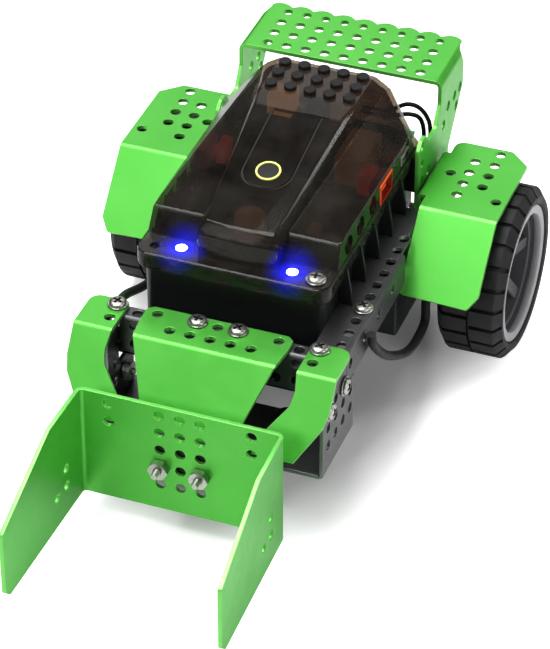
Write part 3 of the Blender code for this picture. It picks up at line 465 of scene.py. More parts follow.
def plate(outline, rings, thickness, edge=0.22):
    """A flat plate with openings and softened edges. Its upper face is at w = 0.

    Faces on the cut edges take material number 1; the sheet parts give it a lighter copy of their finish, a
    painted highlight.
    """
    curve = bpy.data.curves.new("plate", "CURVE")
    curve.dimensions = "2D"
    curve.fill_mode = "BOTH"
    curve.extrude = thickness / 2 - edge
    curve.bevel_depth = edge
    curve.bevel_resolution = 1
    curve.offset = -edge
    for ring in [outline] + rings:
        spline = curve.splines.new("POLY")
        spline.points.add(len(ring) - 1)
        for point, (x, y) in zip(spline.points, ring):
            point.co = (x, y, 0.0, 1.0)
        spline.use_cyclic_u = True
    holder = bpy.data.objects.new("plate", curve)
    mesh = bpy.data.meshes.new_from_object(holder)
    bm = bmesh.new()
    bm.from_mesh(mesh)
    bpy.data.meshes.remove(mesh)
    bpy.data.objects.remove(holder)
    bpy.data.curves.remove(curve)
    bmesh.ops.remove_doubles(bm, verts=bm.verts, dist=0.0005)
    bmesh.ops.recalc_face_normals(bm, faces=bm.faces)
    moved(bm, 0, 0, -thickness / 2)
    for face in bm.faces:
        face.material_index = 0 if abs(face.normal.z) > 0.95 else 1
    return bm


def sheet(outline, holes):
    """A metal sheet with round holes of the grid size."""
    return plate(outline, [circle(x, y, HOLE_RADIUS) for x, y in holes], SHEET)


def fold(bm, axis, corner, angle, side, radius=SOFT_BEND):
    """Bend the part of a flat plate past a line down, away from its upper face.

    axis is X or Y, side is +1 or -1. corner is where the upper faces would meet without the round,
    and the flat pattern measures every length from that corner.
    """
    bend_steps = 8
    tangent = radius * math.tan(angle / 2)
    start = side * corner - tangent
    normal = Vector((0, 0, 0))
    normal[axis] = 1.0
    for step in range(bend_steps + 1):
        point = Vector((0, 0, 0))
        point[axis] = side * (start + 2 * tangent * step / bend_steps)
        geometry = bm.verts[:] + bm.edges[:] + bm.faces[:]
        cut = bmesh.ops.bisect_plane(bm, geom=geometry, dist=0.0001, plane_co=point, plane_no=normal)
        for item in cut["geom_cut"]:
            if isinstance(item, bmesh.types.BMEdge):
                item.seam = True
    bmesh.ops.dissolve_limit(
        bm, angle_limit=math.radians(1), verts=bm.verts, edges=bm.edges, delimit={"SEAM", "MATERIAL"}
    )
    for vert in bm.verts:
        along = side * vert.co[axis] - start
        if along <= 0.0:
            continue
        turned = angle * min(along / (2 * tangent), 1.0)
        beyond = max(along - 2 * tangent, 0.0)
        reach = radius + vert.co.z
        vert.co[axis] = side * (start + reach * math.sin(turned) + beyond * math.cos(angle))
        vert.co.z = -radius + reach * math.cos(turned) - beyond * math.sin(angle)


def place(bm, origin, u_axis, v_axis):
    """Move a plate from its own axes to the robot's axes."""
    u_axis = Vector(u_axis)
    v_axis = Vector(v_axis)
    turn = Matrix((u_axis, v_axis, u_axis.cross(v_axis))).transposed().to_4x4()
    bmesh.ops.transform(bm, matrix=Matrix.Translation(origin) @ turn, verts=bm.verts)


def lathe(profile, sides=32):
    """A closed solid turned around Z. The profile lists (radius, z) from bottom to top, outside."""
    bm = bmesh.new()
    rings = []
    for radius, z in profile:
        if radius < 1e-6:
            rings.append([bm.verts.new((0, 0, z))])
            continue
        rings.append([bm.verts.new((x, y, z)) for x, y in circle(0, 0, radius, sides)])
    pairs = list(zip(rings, rings[1:]))
    if len(rings[0]) > 1 or len(rings[-1]) > 1:
        pairs.append((rings[-1], rings[0]))
    for below, above in pairs:
        for k in range(sides):
            after = (k + 1) % sides
            corners = [below[k % len(below)], below[after % len(below)]]
            corners += [above[after % len(above)], above[k % len(above)]]
            unique = list(dict.fromkeys(corners))
            if len(unique) > 2:
                bm.faces.new(unique)
    bmesh.ops.recalc_face_normals(bm, faces=bm.faces)
    return bm


def cylinder(radius, low_z, high_z, sides):
    """A round bar around Z."""
    return lathe([(0, low_z), (radius, low_z), (radius, high_z), (0, high_z)], sides)


def point_along(bm, origin, direction):
    """Move a solid made around Z so that its Z axis points along a direction from the origin."""
    turn = Vector((0, 0, 1)).rotation_difference(Vector(direction)).to_matrix().to_4x4()
    bmesh.ops.transform(bm, matrix=Matrix.Translation(origin) @ turn, verts=bm.verts)
    return bm


def block(lowest, highest, edge=0.4, segments=2):
    """A rectangular block with rounded edges."""
    bm = bmesh.new()
    bmesh.ops.create_cube(bm, size=1.0)
    lowest = Vector(lowest)
    highest = Vector(highest)
    bmesh.ops.scale(bm, vec=highest - lowest, verts=bm.verts)
    moved(bm, *(lowest + highest) / 2)
    if edge > 0:
        bmesh.ops.bevel(bm, geom=bm.edges[:], offset=edge, segments=segments, profile=0.5, affect="EDGES")
    return bm


def hull(points, edge=0.0):
    """The convex solid around a set of points, with its edges rounded."""
    bm = bmesh.new()
    for point in points:
        bm.verts.new(point)
    result = bmesh.ops.convex_hull(bm, input=bm.verts)
    spare = [item for item in result["geom_interior"] if isinstance(item, bmesh.types.BMVert)]
    bmesh.ops.delete(bm, geom=spare, context="VERTS")
    bmesh.ops.recalc_face_normals(bm, faces=bm.faces)
    bmesh.ops.dissolve_limit(bm, angle_limit=math.radians(3), verts=bm.verts, edges=bm.edges)
    if edge > 0:
        bmesh.ops.bevel(bm, geom=bm.edges[:], offset=edge, segments=4, profile=0.5, affect="EDGES",
                        clamp_overlap=True)
    return bm


def paint(bm, index):
    """Give every face of a solid one material number."""
    for face in bm.faces:
        face.material_index = index
    return bm


def join(parts):
    """Put several solids in one mesh."""
    total = bmesh.new()
    mesh = bpy.data.meshes.new("join")
    for part in parts:
        part.to_mesh(mesh)
        part.free()
        total.from_mesh(mesh)
    bpy.data.meshes.remove(mesh)
    return total


def combine(first, others, operation):
    """Join solids to a first solid, or cut them from it."""
    target = add_object("work", to_mesh(first, "work"))
    tools = []
    for bm in others:
        tool = add_object("tool", to_mesh(bm, "tool"))
        tools.append(tool)
        modifier = target.modifiers.new("tool", "BOOLEAN")
        modifier.object = tool
        modifier.operation = operation
        modifier.solver = "EXACT"
    bpy.context.view_layer.update()
    graph = bpy.context.evaluated_depsgraph_get()
    result = bmesh.new()
    result.from_mesh(target.evaluated_get(graph).to_mesh())
    bpy.data.objects.remove(target)
    for tool in tools:
        bpy.data.objects.remove(tool)
    return result


def tube(points, radius):
    """A cable: a round bar along a smooth curve through the points."""
    sides = 16
    rings_per_span = 8
    path = [Vector(p) for p in points]
    path = [2 * path[0] - path[1]] + path + [2 * path[-1] - path[-2]]
    centres = []
    for a, b, c, d in zip(path, path[1:], path[2:], path[3:]):
        for k in range(rings_per_span):
            t = k / rings_per_span
            square = (2 * a - 5 * b + 4 * c - d) * t ** 2
            cube = (3 * b - a - 3 * c + d) * t ** 3
            centres.append(0.5 * (2 * b + (c - a) * t + square + cube))
    centres.append(path[-2])
    bm = bmesh.new()
    rings = []
    across = (centres[1] - centres[0]).orthogonal().normalized()
    for index, centre in enumerate(centres):
        ahead = centres[min(index + 1, len(centres) - 1)] - centres[max(index - 1, 0)]
        ahead.normalize()
        across = (across - ahead * across.dot(ahead)).normalized()
        other = ahead.cross(across)
        rings.append([bm.verts.new(centre + across * x + other * y) for x, y in circle(0, 0, radius, sides)])
    for below, above in zip(rings, rings[1:]):
        for k in range(sides):
            after = (k + 1) % sides
            bm.faces.new((below[k], below[after], above[after], above[k]))
    bm.faces.new(rings[0])
    bm.faces.new(rings[-1])
    bmesh.ops.recalc_face_normals(bm, faces=bm.faces)
    return bm


# ---------------------------------------------------------------- fasteners
HEAD_RADIUS = 3.3
WASHER_RADIUS = 3.9
SHANK_RADIUS = 1.5


def phillips_mesh():
    """A pan head with a cross recess, on a washer; its seat is at z = 0 and its head points to +Z."""
    side_z = 1.45
    rise = 0.9
    arc_steps = 6
    dome = [(0, 0.8), (HEAD_RADIUS - 0.25, 0.8), (HEAD_RADIUS, 1.05), (HEAD_RADIUS, side_z)]
    for step in range(1, arc_steps + 1):
        turn = QUARTER * step / arc_steps
        dome.append((HEAD_RADIUS * math.cos(turn) ** 0.75, side_z + rise * math.sin(turn)))
    head = lathe(dome, 40)
    cuts = []
    for turn in (0.0, QUARTER):
        wing = hull([(x * wide, y * 0.55, z) for z, wide in ((1.3, 1.2), (2.7, 2.4))
                     for x in (-1, 1) for y in (-1, 1)])
        bmesh.ops.rotate(wing, cent=(0, 0, 0), matrix=Matrix.Rotation(turn, 3, "Z"), verts=wing.verts)
        cuts.append(wing)
    head = combine(head, cuts, "DIFFERENCE")
    # faces inside the cross take material number 1: painted shade in the recess
    for face in head.faces:
        centre = face.calc_center_median()
        radius = centre.xy.length
        crown = side_z + rise * math.sqrt(max(0.0, 1 - (radius / HEAD_RADIUS) ** 2.6))
        face.material_index = 1 if radius < 2.4 and centre.z < crown - 0.12 else 0
    washer = lathe([(1.7, 0.3), (WASHER_RADIUS - 0.15, 0.3), (WASHER_RADIUS, 0.42), (WASHER_RADIUS, 0.68),
                    (WASHER_RADIUS - 0.2, 0.85), (1.7, 0.85)], 40)
    return join([head, washer])


def shank(length):
    """The threaded rod of a screw, below its seat."""
    profile = [(0, -length), (SHANK_RADIUS - 0.35, -length), (SHANK_RADIUS, -length + 0.4)]
    z = -length + 0.4
    while z < -0.6:
        profile += [(SHANK_RADIUS, z), (SHANK_RADIUS - 0.22, z + 0.25)]
        z += 0.5
    profile += [(SHANK_RADIUS, 0.2), (SHANK_RADIUS, 0.95), (0, 0.95)]
    return lathe(profile, 20)


def add_screw(node, seat, direction, length, turn_degrees):
    """One screw in the place of its CAD node."""
    bm = join([PHILLIPS.copy(), shank(length)])
    turn = Matrix.Rotation(math.radians(turn_degrees), 3, "Z")
    bmesh.ops.rotate(bm, cent=(0, 0, 0), matrix=turn, verts=bm.verts)
    point_along(bm, seat, direction)
    add_piece(f"{node}_head", bm, ["steel", "recess_shade"], node)


def nut_mesh():
    """A hexagon nut with chamfered corners and an open bore; it sits just above z = 0."""
    flats = 3.5
    thick = 2.9
    corner = flats / math.cos(math.radians(30))
    bore = SHANK_RADIUS + 0.2
    body = cylinder(corner, 0, thick, 6)
    cone = lathe([(0, 0), (flats + 0.15, 0), (corner + 0.1, 0.35), (corner + 0.1, thick - 0.35),
                  (flats + 0.15, thick), (0, thick)], 48)
    hole = cylinder(bore, -1, thick + 1, 24)
    return moved(combine(combine(body, [cone], "INTERSECT"), [hole], "DIFFERENCE"), 0, 0, GAP)


def add_nut(name, seat, direction, *nodes):
    """A nut on a face; the direction points away from that face."""
    add_piece(name, point_along(NUT.copy(), seat, direction), ["steel"], *nodes)


PHILLIPS = phillips_mesh()
NUT = nut_mesh()


def inner_wall():
    """A guessed upright sheet inside the left arm, with a short bolt and its nut."""
    wall_x = -38.3
    bolt_z = BRACKET_SCREW_Z - 2 * PITCH
    low_z = BRACKET_Z + SHEET + GAP
    outline = rounded([(-130.0, low_z), (-106.0, low_z), (-106.0, 43.5), (-119.8, 43.5), (-119.8, 62.0),
                       (-130.0, 62.0)], 1.2)
    holes = grid_holes([GRID_Y - PITCH, GRID_Y], [bolt_z]) + [(GRID_Y - PITCH, bolt_z + PITCH)]
    wall = sheet(outline, holes)
    place(wall, (wall_x, 0, 0), BACK, UP)
    add_piece("inner_wall", wall, GREY)
    bolt = shank(4.6)
    bmesh.ops.scale(bolt, vec=(1, 1, -1), verts=bolt.verts)
    bmesh.ops.reverse_faces(bolt, faces=bolt.faces)
    bolt = point_along(join([bolt, NUT.copy()]), (wall_x, GRID_Y, bolt_z), RIGHT)
    add_piece("inner_bolt", bolt, ["steel"])


def fasteners():
    """Every screw and nut that shows."""
    inner_wall()
    for side, label in SIDES:
        add_screw(f"plate_screw_{label}", (side * PITCH, GRID_Y, PLATE_Z), UP, 7.0, 20 + 25 * side)
        add_screw(f"arm_screw_{label}", (side * 5 * PITCH, GRID_Y, PLATE_Z), UP, 7.0, 12 + 30 * side)
        outward = (side, 0, 0)
        face = side * BEAM_X
        for spot, y in (("front", GRID_Y - 2 * PITCH), ("rear", GRID_Y)):
            add_screw(f"bracket_screw_{spot}_{label}", (face, y, BRACKET_SCREW_Z), outward, 8.0, 15)
        inner_face = (side * (BEAM_X - SHEET), GRID_Y - 2 * PITCH, BRACKET_SCREW_Z)
        add_nut(f"bracket_nut_{label}", inner_face, (-side, 0, 0))
        add_screw(f"frame_bolt_{label}", (face, FRAME_BOLT_Y[0], SIDE_HOLE_Z), outward, 12.0, 30)
        seat = (side * PITCH, SCOOP_BACK_Y + GAP + SHEET, SCOOP_BOLT_Z)
        add_screw(f"scoop_bolt_{label}", seat, BACK, 10.0, 10)
        front = (side * PITCH, SCOOP_BACK_Y - SHEET, SCOOP_BOLT_Z)
        add_nut(f"scoop_nut_{label}_hex", front, (0, -1, 0), f"scoop_nut_{label}")
    add_screw("beam_screw_right", (BEAM_X - ROW_EDGE, GRID_Y + 4 * PITCH, DECK_Z), UP, 6.0, 38)
    add_screw("cover_screw_right", (*COVER_SCREW_PLACE, FLANGE_Z), UP, 6.0, 8)


# ---------------------------------------------------------------- chassis
def chassis_beam(front_y, first_side_hole):
    """An angle profile at +X with a notch in its side."""
    inner_x = 36.0
    narrow_x = 45.3
    narrow_y = -15.0
    notch_y = (-45.0, -33.5, -22.0)
    shallow = BEAM_X - 1.5
    deep = BEAM_X - 2.9
    edge = BEAM_X + BEAM_HEIGHT
    outline = [
        (inner_x, front_y), (edge, front_y), (edge, notch_y[0]), (shallow, notch_y[0]),
        (shallow, notch_y[1]), (deep, notch_y[1]), (deep, notch_y[2]), (edge, notch_y[2]),
        (edge, BEAM_REAR_Y), (narrow_x, BEAM_REAR_Y), (narrow_x, narrow_y), (inner_x, narrow_y),
    ]
    outline = rounded(outline, {1: 2.0, 2: 2.0, 7: 2.0, 8: 2.0, 11: 2.0})
    holes = grid_holes([BEAM_X - ROW_EDGE], [y for y in steps(GRID_Y + PITCH, 10) if y > front_y])
    side_u = BEAM_X + DECK_Z - SIDE_HOLE_Z
    holes += grid_holes([side_u], steps(GRID_Y + PITCH, 4, 2 * PITCH)[first_side_hole:])
    holes += [(side_u, y) for y in FRAME_BOLT_Y]
    holes += [(side_u, BEAM_REAR_Y - 4.0)]
    bm = sheet(outline, holes)
    fold(bm, X, BEAM_X, QUARTER, 1, radius=TIGHT_BEND)
    place(bm, (0, 0, DECK_Z), RIGHT, BACK)
    return bm


def chassis_beams():
    """The long right beam, and the left beam, which ends beside the controller."""
    right = chassis_beam(BEAM_FRONT_Y, 0)
    left = mirror(chassis_beam(low("chassis_beam_left", Y), 4))
    add_piece("beam_profile_right", right, GREY, "chassis_beam_right")
    add_piece("beam_profile_left", left, GREY, "chassis_beam_left")


def front_crossbeam():
    front_y = GRID_Y - ROW_EDGE
    bottom_z = low("front_crossbeam", Z)
    end_x = BEAM_X - LAYER
    flange = DECK_Z + 7.0
    ear_top = DECK_Z - 4.0
    relief = 2.6
    sides = []
    for ear in (20.0, 7.8):
        ear_end = end_x + ear
        sides.append([
            (end_x - relief, bottom_z), (end_x - relief, bottom_z + 1.0), (ear_end, bottom_z + 1.0),
            (ear_end, ear_top), (end_x - relief, ear_top), (end_x - relief, flange),
        ])
    right = sides[0]
    left = [(-x, z) for x, z in reversed(sides[1])]
    row_z = DECK_Z - ROW_EDGE
    holes = grid_holes(steps(-5 * PITCH, 11), [row_z, row_z - PITCH])
    holes += grid_holes([x * PITCH for x in (-5, -4, -1, 1, 4, 5)], [DECK_Z + ROW_EDGE])
    bolt_u = end_x + GRID_Y - front_y
    holes += [(-bolt_u, BRACKET_SCREW_Z), (bolt_u, BRACKET_SCREW_Z), (bolt_u + PITCH, SIDE_HOLE_Z)]
    bm = sheet(right + left, holes)
    fold(bm, Y, DECK_Z, QUARTER, 1, radius=TIGHT_BEND)
    fold(bm, X, end_x, QUARTER, 1, radius=TIGHT_BEND)
    fold(bm, X, -end_x, QUARTER, -1, radius=TIGHT_BEND)
    place(bm, (0, front_y, 0), RIGHT, UP)
    add_piece("front_channel", bm, GREY, "front_crossbeam")


def rear_crossbeam():
    end_x = SPOILER_X - LAYER
    height = 14.0
    holes = grid_holes(steps(-4 * PITCH, 9), [-height / 2])
    holes += grid_holes(steps(-4 * PITCH, 5, 2 * PITCH), [PITCH / 2])
    bm = sheet(rounded(rectangle(-end_x, -height, end_x, PITCH), 1.5), holes)
    fold(bm, Y, 0.0, QUARTER, 1)
    place(bm, (0, BEAM_REAR_Y, DECK_Z - LAYER), (-1, 0, 0), (0, 0, 1))
    add_piece("rear_channel", bm, GREY, "rear_crossbeam")


def front_bracket():
    front_y = low("front_bracket", Y)
    rear_y = high("front_bracket", Y)

    def side_point(y, z):
        return BEAM_X + z - BRACKET_Z, -y

    step_y = BEAM_FRONT_Y - 0.4
    step_z = 51.2
    relief = 3.0
    right = [
        (BEAM_X - relief, -rear_y), side_point(rear_y, BRACKET_Z + relief), side_point(rear_y, step_z),
        side_point(step_y, step_z), side_point(step_y, DECK_Z), side_point(-127.5, DECK_Z),
        side_point(-129.5, 63.6), side_point(front_y, 54.0), side_point(front_y, BRACKET_Z + relief),
        (BEAM_X - relief, -front_y),
    ]
    holes = []
    for rows_down, count in ((2, 4), (1, 4), (0, 3)):
        for y in steps(GRID_Y - 2 * PITCH, count):
            u, v = side_point(y, BRACKET_SCREW_Z - rows_down * PITCH)
            holes += [(u, v), (-u, v)]
    holes += grid_holes([-24, -8, 8, 24], [-MOUNT_ROW_Y])
    bm = sheet(symmetric(right, {}), holes)
    fold(bm, X, BEAM_X, QUARTER, 1)
    fold(bm, X, -BEAM_X, QUARTER, -1)
    place(bm, (0, 0, BRACKET_Z), (1, 0, 0), (0, -1, 0))
    add_piece("front_cradle", bm, GREY, "front_bracket")


# ---------------------------------------------------------------- front plates and scoop
def slope_v(distance):
    """Flat pattern place of a point on a sloped face, from its distance below the bend."""
    return PLATE_BEND_Y - distance


def centre_plate():
    right = [
        (17.0, slope_v(33.0)), (20.4, slope_v(22.4)), (28.0, slope_v(0)), (29.0, GRID_Y - 5.0),
        (29.0, GRID_Y + 2.0), (26.5, GRID_Y + 4.0),
    ]
    holes = grid_holes([-16, -8, 0, 8, 16], [GRID_Y - PITCH])
    holes += grid_holes([-24, -8, 0, 8, 24], [GRID_Y])
    bm = sheet(symmetric(right, {1: 6.0, 2: 8.0, 4: 1.5, 5: 1.5}), holes)
    fold(bm, Y, PLATE_BEND_Y, PLATE_SLOPE, -1)
    place(bm, (0, 0, PLATE_Z), RIGHT, BACK)
    add_piece("centre_apron", bm, GREEN, "centre_plate")


def arms():
    outline = [
        (36.3, slope_v(0)), (37.4, slope_v(8.0)), (36.4, slope_v(13.0)), (29.5, slope_v(23.0)),
        (26.0, slope_v(29.0)), (26.0, slope_v(33.0)), (42.0, slope_v(33.0)), (50.3, slope_v(18.6)),
        (51.6, slope_v(12.0)), (51.6, GRID_Y + 3.8), (36.3, GRID_Y + 3.8),
    ]
    outline = rounded(outline, {1: 12.0, 2: 6.0, 3: 8.0, 7: 5.0, 8: 6.0, 9: 4.5, 10: 2.0})
    bm = sheet(outline, [(40.0, GRID_Y), (40.0, GRID_Y - PITCH)])
    fold(bm, Y, PLATE_BEND_Y, PLATE_SLOPE, -1)
    place(bm, (0, 0, PLATE_Z), RIGHT, BACK)
    add_pair("arm_sheet", bm, GREEN, "arm")


def scoop():
    def side_point(y, z):
        return SCOOP_X + SCOOP_BACK_Y - y, -z

    right = [
        (SCOOP_X, -SCOOP_BOTTOM_Z), side_point(SCOOP_FRONT_Y + 3.5, SCOOP_BOTTOM_Z),
        side_point(SCOOP_FRONT_Y, 12.5), side_point(SCOOP_FRONT_Y, 39.4), side_point(-181.0, SCOOP_TOP_Z),
    ]
    rows = [-z for z in steps(20.8, 5)]
    holes = grid_holes([-PITCH, 0, PITCH], rows)
    holes += grid_holes([-28.0, 28.0], rows[3:])
    for y, z in ((-169.0, 30.0), (-169.0, 22.0), (-177.0, 22.0)):
        u, v = side_point(y, z)
        holes += [(u, v), (-u, v)]
    bm = sheet(symmetric(right, {1: 1.0, 2: 1.0, 3: 1.2}), holes)
    fold(bm, X, SCOOP_X, SCOOP_BEND, 1, radius=3.2)
    fold(bm, X, -SCOOP_X, SCOOP_BEND, -1, radius=3.2)
    place(bm, (0, SCOOP_BACK_Y, 0), (1, 0, 0), (0, 0, -1))
    add_piece("scoop_sheet", bm, GREEN, "scoop")


def scoop_bracket():
    half = 12.0
    rear_y = MOUNT_ROW_Y + 5.0
    front_y = SCOOP_BACK_Y + GAP
    under_z = BRACKET_Z - GAP - SHEET
    outline = symmetric([(half, -rear_y), (half, -front_y + 19.0)], {0: 1.5, 1: 1.5})
    bm = sheet(outline, grid_holes([-PITCH, PITCH], [-MOUNT_ROW_Y, -front_y + SCOOP_BOLT_Z - under_z]))
    fold(bm, Y, -front_y, QUARTER, 1)
    place(bm, (0, 0, under_z), (1, 0, 0), (0, -1, 0))
    add_piece("scoop_angle", bm, ["black", "black"], "scoop_bracket")


# ---------------------------------------------------------------- fenders and wing
def fenders():
    lobe_x = 46.9
    tab = FENDER_INNER_X - 22.0
    tab_front = -13.5
    tab_rear = 17.9
    outer_x = 78.0
    rear_y = 26.8
    slope_end = FENDER_BEND_Y - 35.0
    outline = [
        (lobe_x, slope_end), (74.5, slope_end - 0.8), (outer_x, slope_end + 5.0), (outer_x, 19.2),
        (70.0, rear_y), (lobe_x, rear_y), (lobe_x, tab_rear), (tab, tab_rear), (tab, tab_front),
        (lobe_x, tab_front),
    ]
    outline = rounded(outline, {0: 2.0, 1: 1.5, 2: 1.5, 3: 1.0, 4: 1.0, 5: 4.0, 7: 3.0, 8: 3.0})
    holes = [(57.9, y) for y in steps(-8.8, 4)]
    holes += [(65.9, y) for y in steps(-0.8, 4)]
    holes += [(73.9, -8.8), (51.1, 4.6)]
    tab_u = FENDER_INNER_X - (FENDER_Z - SIDE_HOLE_Z)
    holes += [(tab_u, y) for y in FRAME_BOLT_Y]
    bm = sheet(outline, holes)
    fold(bm, X, FENDER_INNER_X, QUARTER, -1, radius=2.1)
    fold(bm, Y, FENDER_BEND_Y, FENDER_SLOPE, -1, radius=3.0)
    place(bm, (0, 0, FENDER_Z), RIGHT, BACK)
    add_pair("fender_sheet", bm, GREEN, "fender")


def spoiler():
    def leg_point(y, z):
        return SPOILER_X + SPOILER_Z - z, y

    right = [
        (39.0, 17.5), leg_point(17.5, 94.0), leg_point(12.0, 86.0), leg_point(3.3, 86.0),
        leg_point(-1.5, 91.2), leg_point(-5.8, 91.2), leg_point(-9.2, 87.8), leg_point(-9.2, 50.2),
        leg_point(29.0, 50.2), leg_point(29.0, 67.0), leg_point(46.0, 87.0), leg_point(46.0, 97.0),
        (SPOILER_X, 42.0), (40.2, 48.5),
    ]
    crests = 9
    width = 9.0
    rear = []
    for k in range(crests):
        crest_x = width * (crests - 1) / 2 - width * k
        for share in (-0.5, -0.32, -0.16, 0.0, 0.16, 0.32, 0.5)[0 if k == 0 else 1:]:
            swell = math.cos(math.pi * share) ** 0.8 if abs(share) < 0.5 else 0.0
            rear.append((crest_x - share * width, 49.8 + 2.2 * swell))
    holes = grid_holes(steps(-4 * PITCH, 9), steps(22.0, 4))
    leg_holes = [
        (-5, 88), (-5, 80), (-5, 72), (3, 72), (27, 87.6), (35, 87.6), (42, 87.6), (37.6, 81.4),
        (21.4, 82),
    ]
    for y, z in leg_holes + [(y, SIDE_HOLE_Z) for y in FRAME_BOLT_Y]:
        u, v = leg_point(y, z)
        holes += [(u, v), (-u, v)]
    corners = {1: 2.5, 2: 2.5, 3: 2.5, 4: 2.0, 5: 2.0, 6: 2.0, 9: 3.0, 10: 3.0, 11: 2.0, 12: 3.0}
    bm = sheet(symmetric(right, corners, rear), holes)
    fold(bm, X, SPOILER_X, QUARTER, 1, radius=3.0)
    fold(bm, X, -SPOILER_X, QUARTER, -1, radius=3.0)
    place(bm, (0, 0, SPOILER_Z), RIGHT, BACK)
    add_piece("wing_sheet", bm, GREEN, "spoiler")


# ---------------------------------------------------------------- drive
def motors():
    """Gearbox with a lid line and corner screws."""
    lowest = [low("motor_right", axis) for axis in (X, Y, Z)]
    highest = [high("motor_right", axis) for axis in (X, Y, Z)]
    seam_x = (lowest[0] + highest[0]) / 2
    lower = block(lowest, (seam_x - 0.15, highest[1], highest[2]), 1.2, 3)
    upper = block((seam_x + 0.15, lowest[1], lowest[2]), highest, 1.2, 3)
    core = block([value + 1 for value in lowest], [value - 1 for value in highest], 0.5)
    parts = [lower, upper, core]
    for y in (lowest[1] + 4, highest[1] - 4):
        for z in (lowest[2] + 4, highest[2] - 4):
            boss = lathe([(0, 0), (1.9, 0), (1.9, 0.35), (1.5, 0.5), (0, 0.5)], 20)
            parts.append(point_along(paint(boss, 1), (lowest[0] + 0.3, y, z), (-1, 0, 0)))
    add_pair("gear_motor", join(parts), ["satin", "steel"], "motor")


def motor_brackets():
    low_z = 24.0
    high_z = DECK_Z - SHEET - GAP - 0.2
    outline = rectangle(-10.0, low_z, 18.0, high_z)
    rings = [circle(y, SIDE_HOLE_Z, HOLE_RADIUS) for y in FRAME_BOLT_Y]
    rings.append(circle(0.0, WHEEL_RADIUS, 4.5, 32))
    bm = plate(rounded(outline, 2.0), rings, SHEET)
    place(bm, (BEAM_X - LAYER, 0, 0), BACK, UP)
    add_pair("motor_plate", bm, GREY, "motor_bracket")


def axles():
    radius = 2.5
    start = low("axle_right", X)
    length = high("axle_right", X) - start
    for (side, label), cut in zip(SIDES, (LEFT_WHEEL_SHIFT, 0.0)):
        end = length - cut
        bar = lathe([(0, 0), (radius, 0), (radius, end - 0.5), (radius - 0.5, end), (0, end)], 32)
        point_along(bar, (side * start, 0, WHEEL_RADIUS), (side, 0, 0))
        add_piece(f"axle_bar_{label}", bar, ["steel"], f"axle_{label}", body=f"wheel_{label}")


def tyres():
    """Rubber ring with two staggered rows of tread blocks and chamfered shoulders."""
    lugs = 24
    depth = 1.5
    width = WHEEL_OUTER_X - WHEEL_INNER_X
    bore = RIM_OUTER + GAP
    half = width / 2
    profile = [
        (0.9, bore, 0), (0.2, bore + 0.7, 0), (0.0, WHEEL_RADIUS - 3.7, 0), (0.5, WHEEL_RADIUS - 3.2, 1),
        (2.7, WHEEL_RADIUS - 0.3, 1), (3.2, WHEEL_RADIUS, 1), (half - 0.8, WHEEL_RADIUS, 1),
        (half - 0.5, WHEEL_RADIUS - 0.1, 0), (half - 0.4, WHEEL_RADIUS - depth, 0),
    ]
    profile += [(width - x, radius, -row) for x, radius, row in reversed(profile)]
    marks = (0.0, 0.02, 0.20, 0.22, 0.5, 0.52, 0.70, 0.72)
    bm = bmesh.new()
    rings = []
    for k in range(lugs):
        for index, mark in enumerate(marks):
            turn = 2 * math.pi * (k + mark) / lugs
            ring = []
            for x, radius, row in profile:
                in_gap = (row > 0 and index in (1, 2)) or (row < 0 and index in (5, 6))
                reach = radius - depth if in_gap else radius
                point = (WHEEL_INNER_X + x, reach * math.cos(turn), WHEEL_RADIUS + reach * math.sin(turn))
                ring.append(bm.verts.new(point))
            rings.append(ring)
    for ring, after in zip(rings, rings[1:] + rings[:1]):
        for k in range(len(profile)):
            ahead = (k + 1) % len(profile)
            bm.faces.new((ring[k], ring[ahead], after[ahead], after[k]))
    bmesh.ops.recalc_face_normals(bm, faces=bm.faces)
    add_wheel_pair("tyre_tread", bm, ["tyre"], "tyre", sharp_angle=30.0)


def rims():
    """Light ring outside, with a dark barrel behind it."""
    depth = WHEEL_OUTER_X - WHEEL_INNER_X - 0.8
    ring = lathe([
        (RIM_INNER + 0.4, depth - 3.0), (RIM_OUTER, depth - 3.0), (RIM_OUTER, depth - 0.6),
        (RIM_OUTER - 0.2, depth - 0.2), (RIM_OUTER - 0.6, depth), (RIM_INNER + 1.0, depth),
        (RIM_INNER + 0.3, depth - 0.4), (RIM_INNER, depth - 1.0), (RIM_INNER, depth - 2.0),
    ], 96)
    barrel = lathe(rectangle(RIM_INNER + 0.1, 1.0, RIM_OUTER, depth - 3.1), 96)
    bm = point_along(join([ring, paint(barrel, 1)]), (WHEEL_INNER_X, 0, WHEEL_RADIUS), RIGHT)
    add_wheel_pair("rim_ring", bm, ["rim", "hub"], "rim")


def hubs():
    """Six dished spokes between a boss and a ledge ring."""
    spokes = 6
    outer = RIM_INNER - GAP
    skin = 2.4
    back = low("hub_right", X)
    front = high("hub_right", X)
    parts = [lathe([
        (outer - skin, back), (outer, back), (outer, front - 0.4), (outer - 0.4, front),
        (outer - skin + 0.4, front), (outer - skin, front - 0.4),
    ], 96)]
    parts.append(lathe([
        (2.9, back), (8.0, back), (8.0, front - 6.0), (7.0, front - 5.0), (4.4, front - 5.0),
        (4.0, front - 5.5), (2.9, front - 5.5),
    ], 48))
    spoke_ends = [  # distance from the axle, half the width, height along the axle
        (6.0, 3.4, back + 1), (outer - 0.6, 3.0, back + 1), (6.0, 2.6, front - 5.6),
        (outer - 0.6, 2.4, front - 0.6),
    ]
    for k in range(spokes):
        spoke = hull([(x, side * half, z) for x, half, z in spoke_ends for side in (-1, 1)], 0.5)
        turn = Matrix.Rotation(2 * math.pi * (k + 0.5) / spokes, 3, "Z")
        bmesh.ops.rotate(spoke, cent=(0, 0, 0), matrix=turn, verts=spoke.verts)
        parts.append(spoke)
    bm = join(parts)
    point_along(bm, (0, 0, WHEEL_RADIUS), RIGHT)
    add_wheel_pair("hub_spokes", bm, ["hub"], "hub")


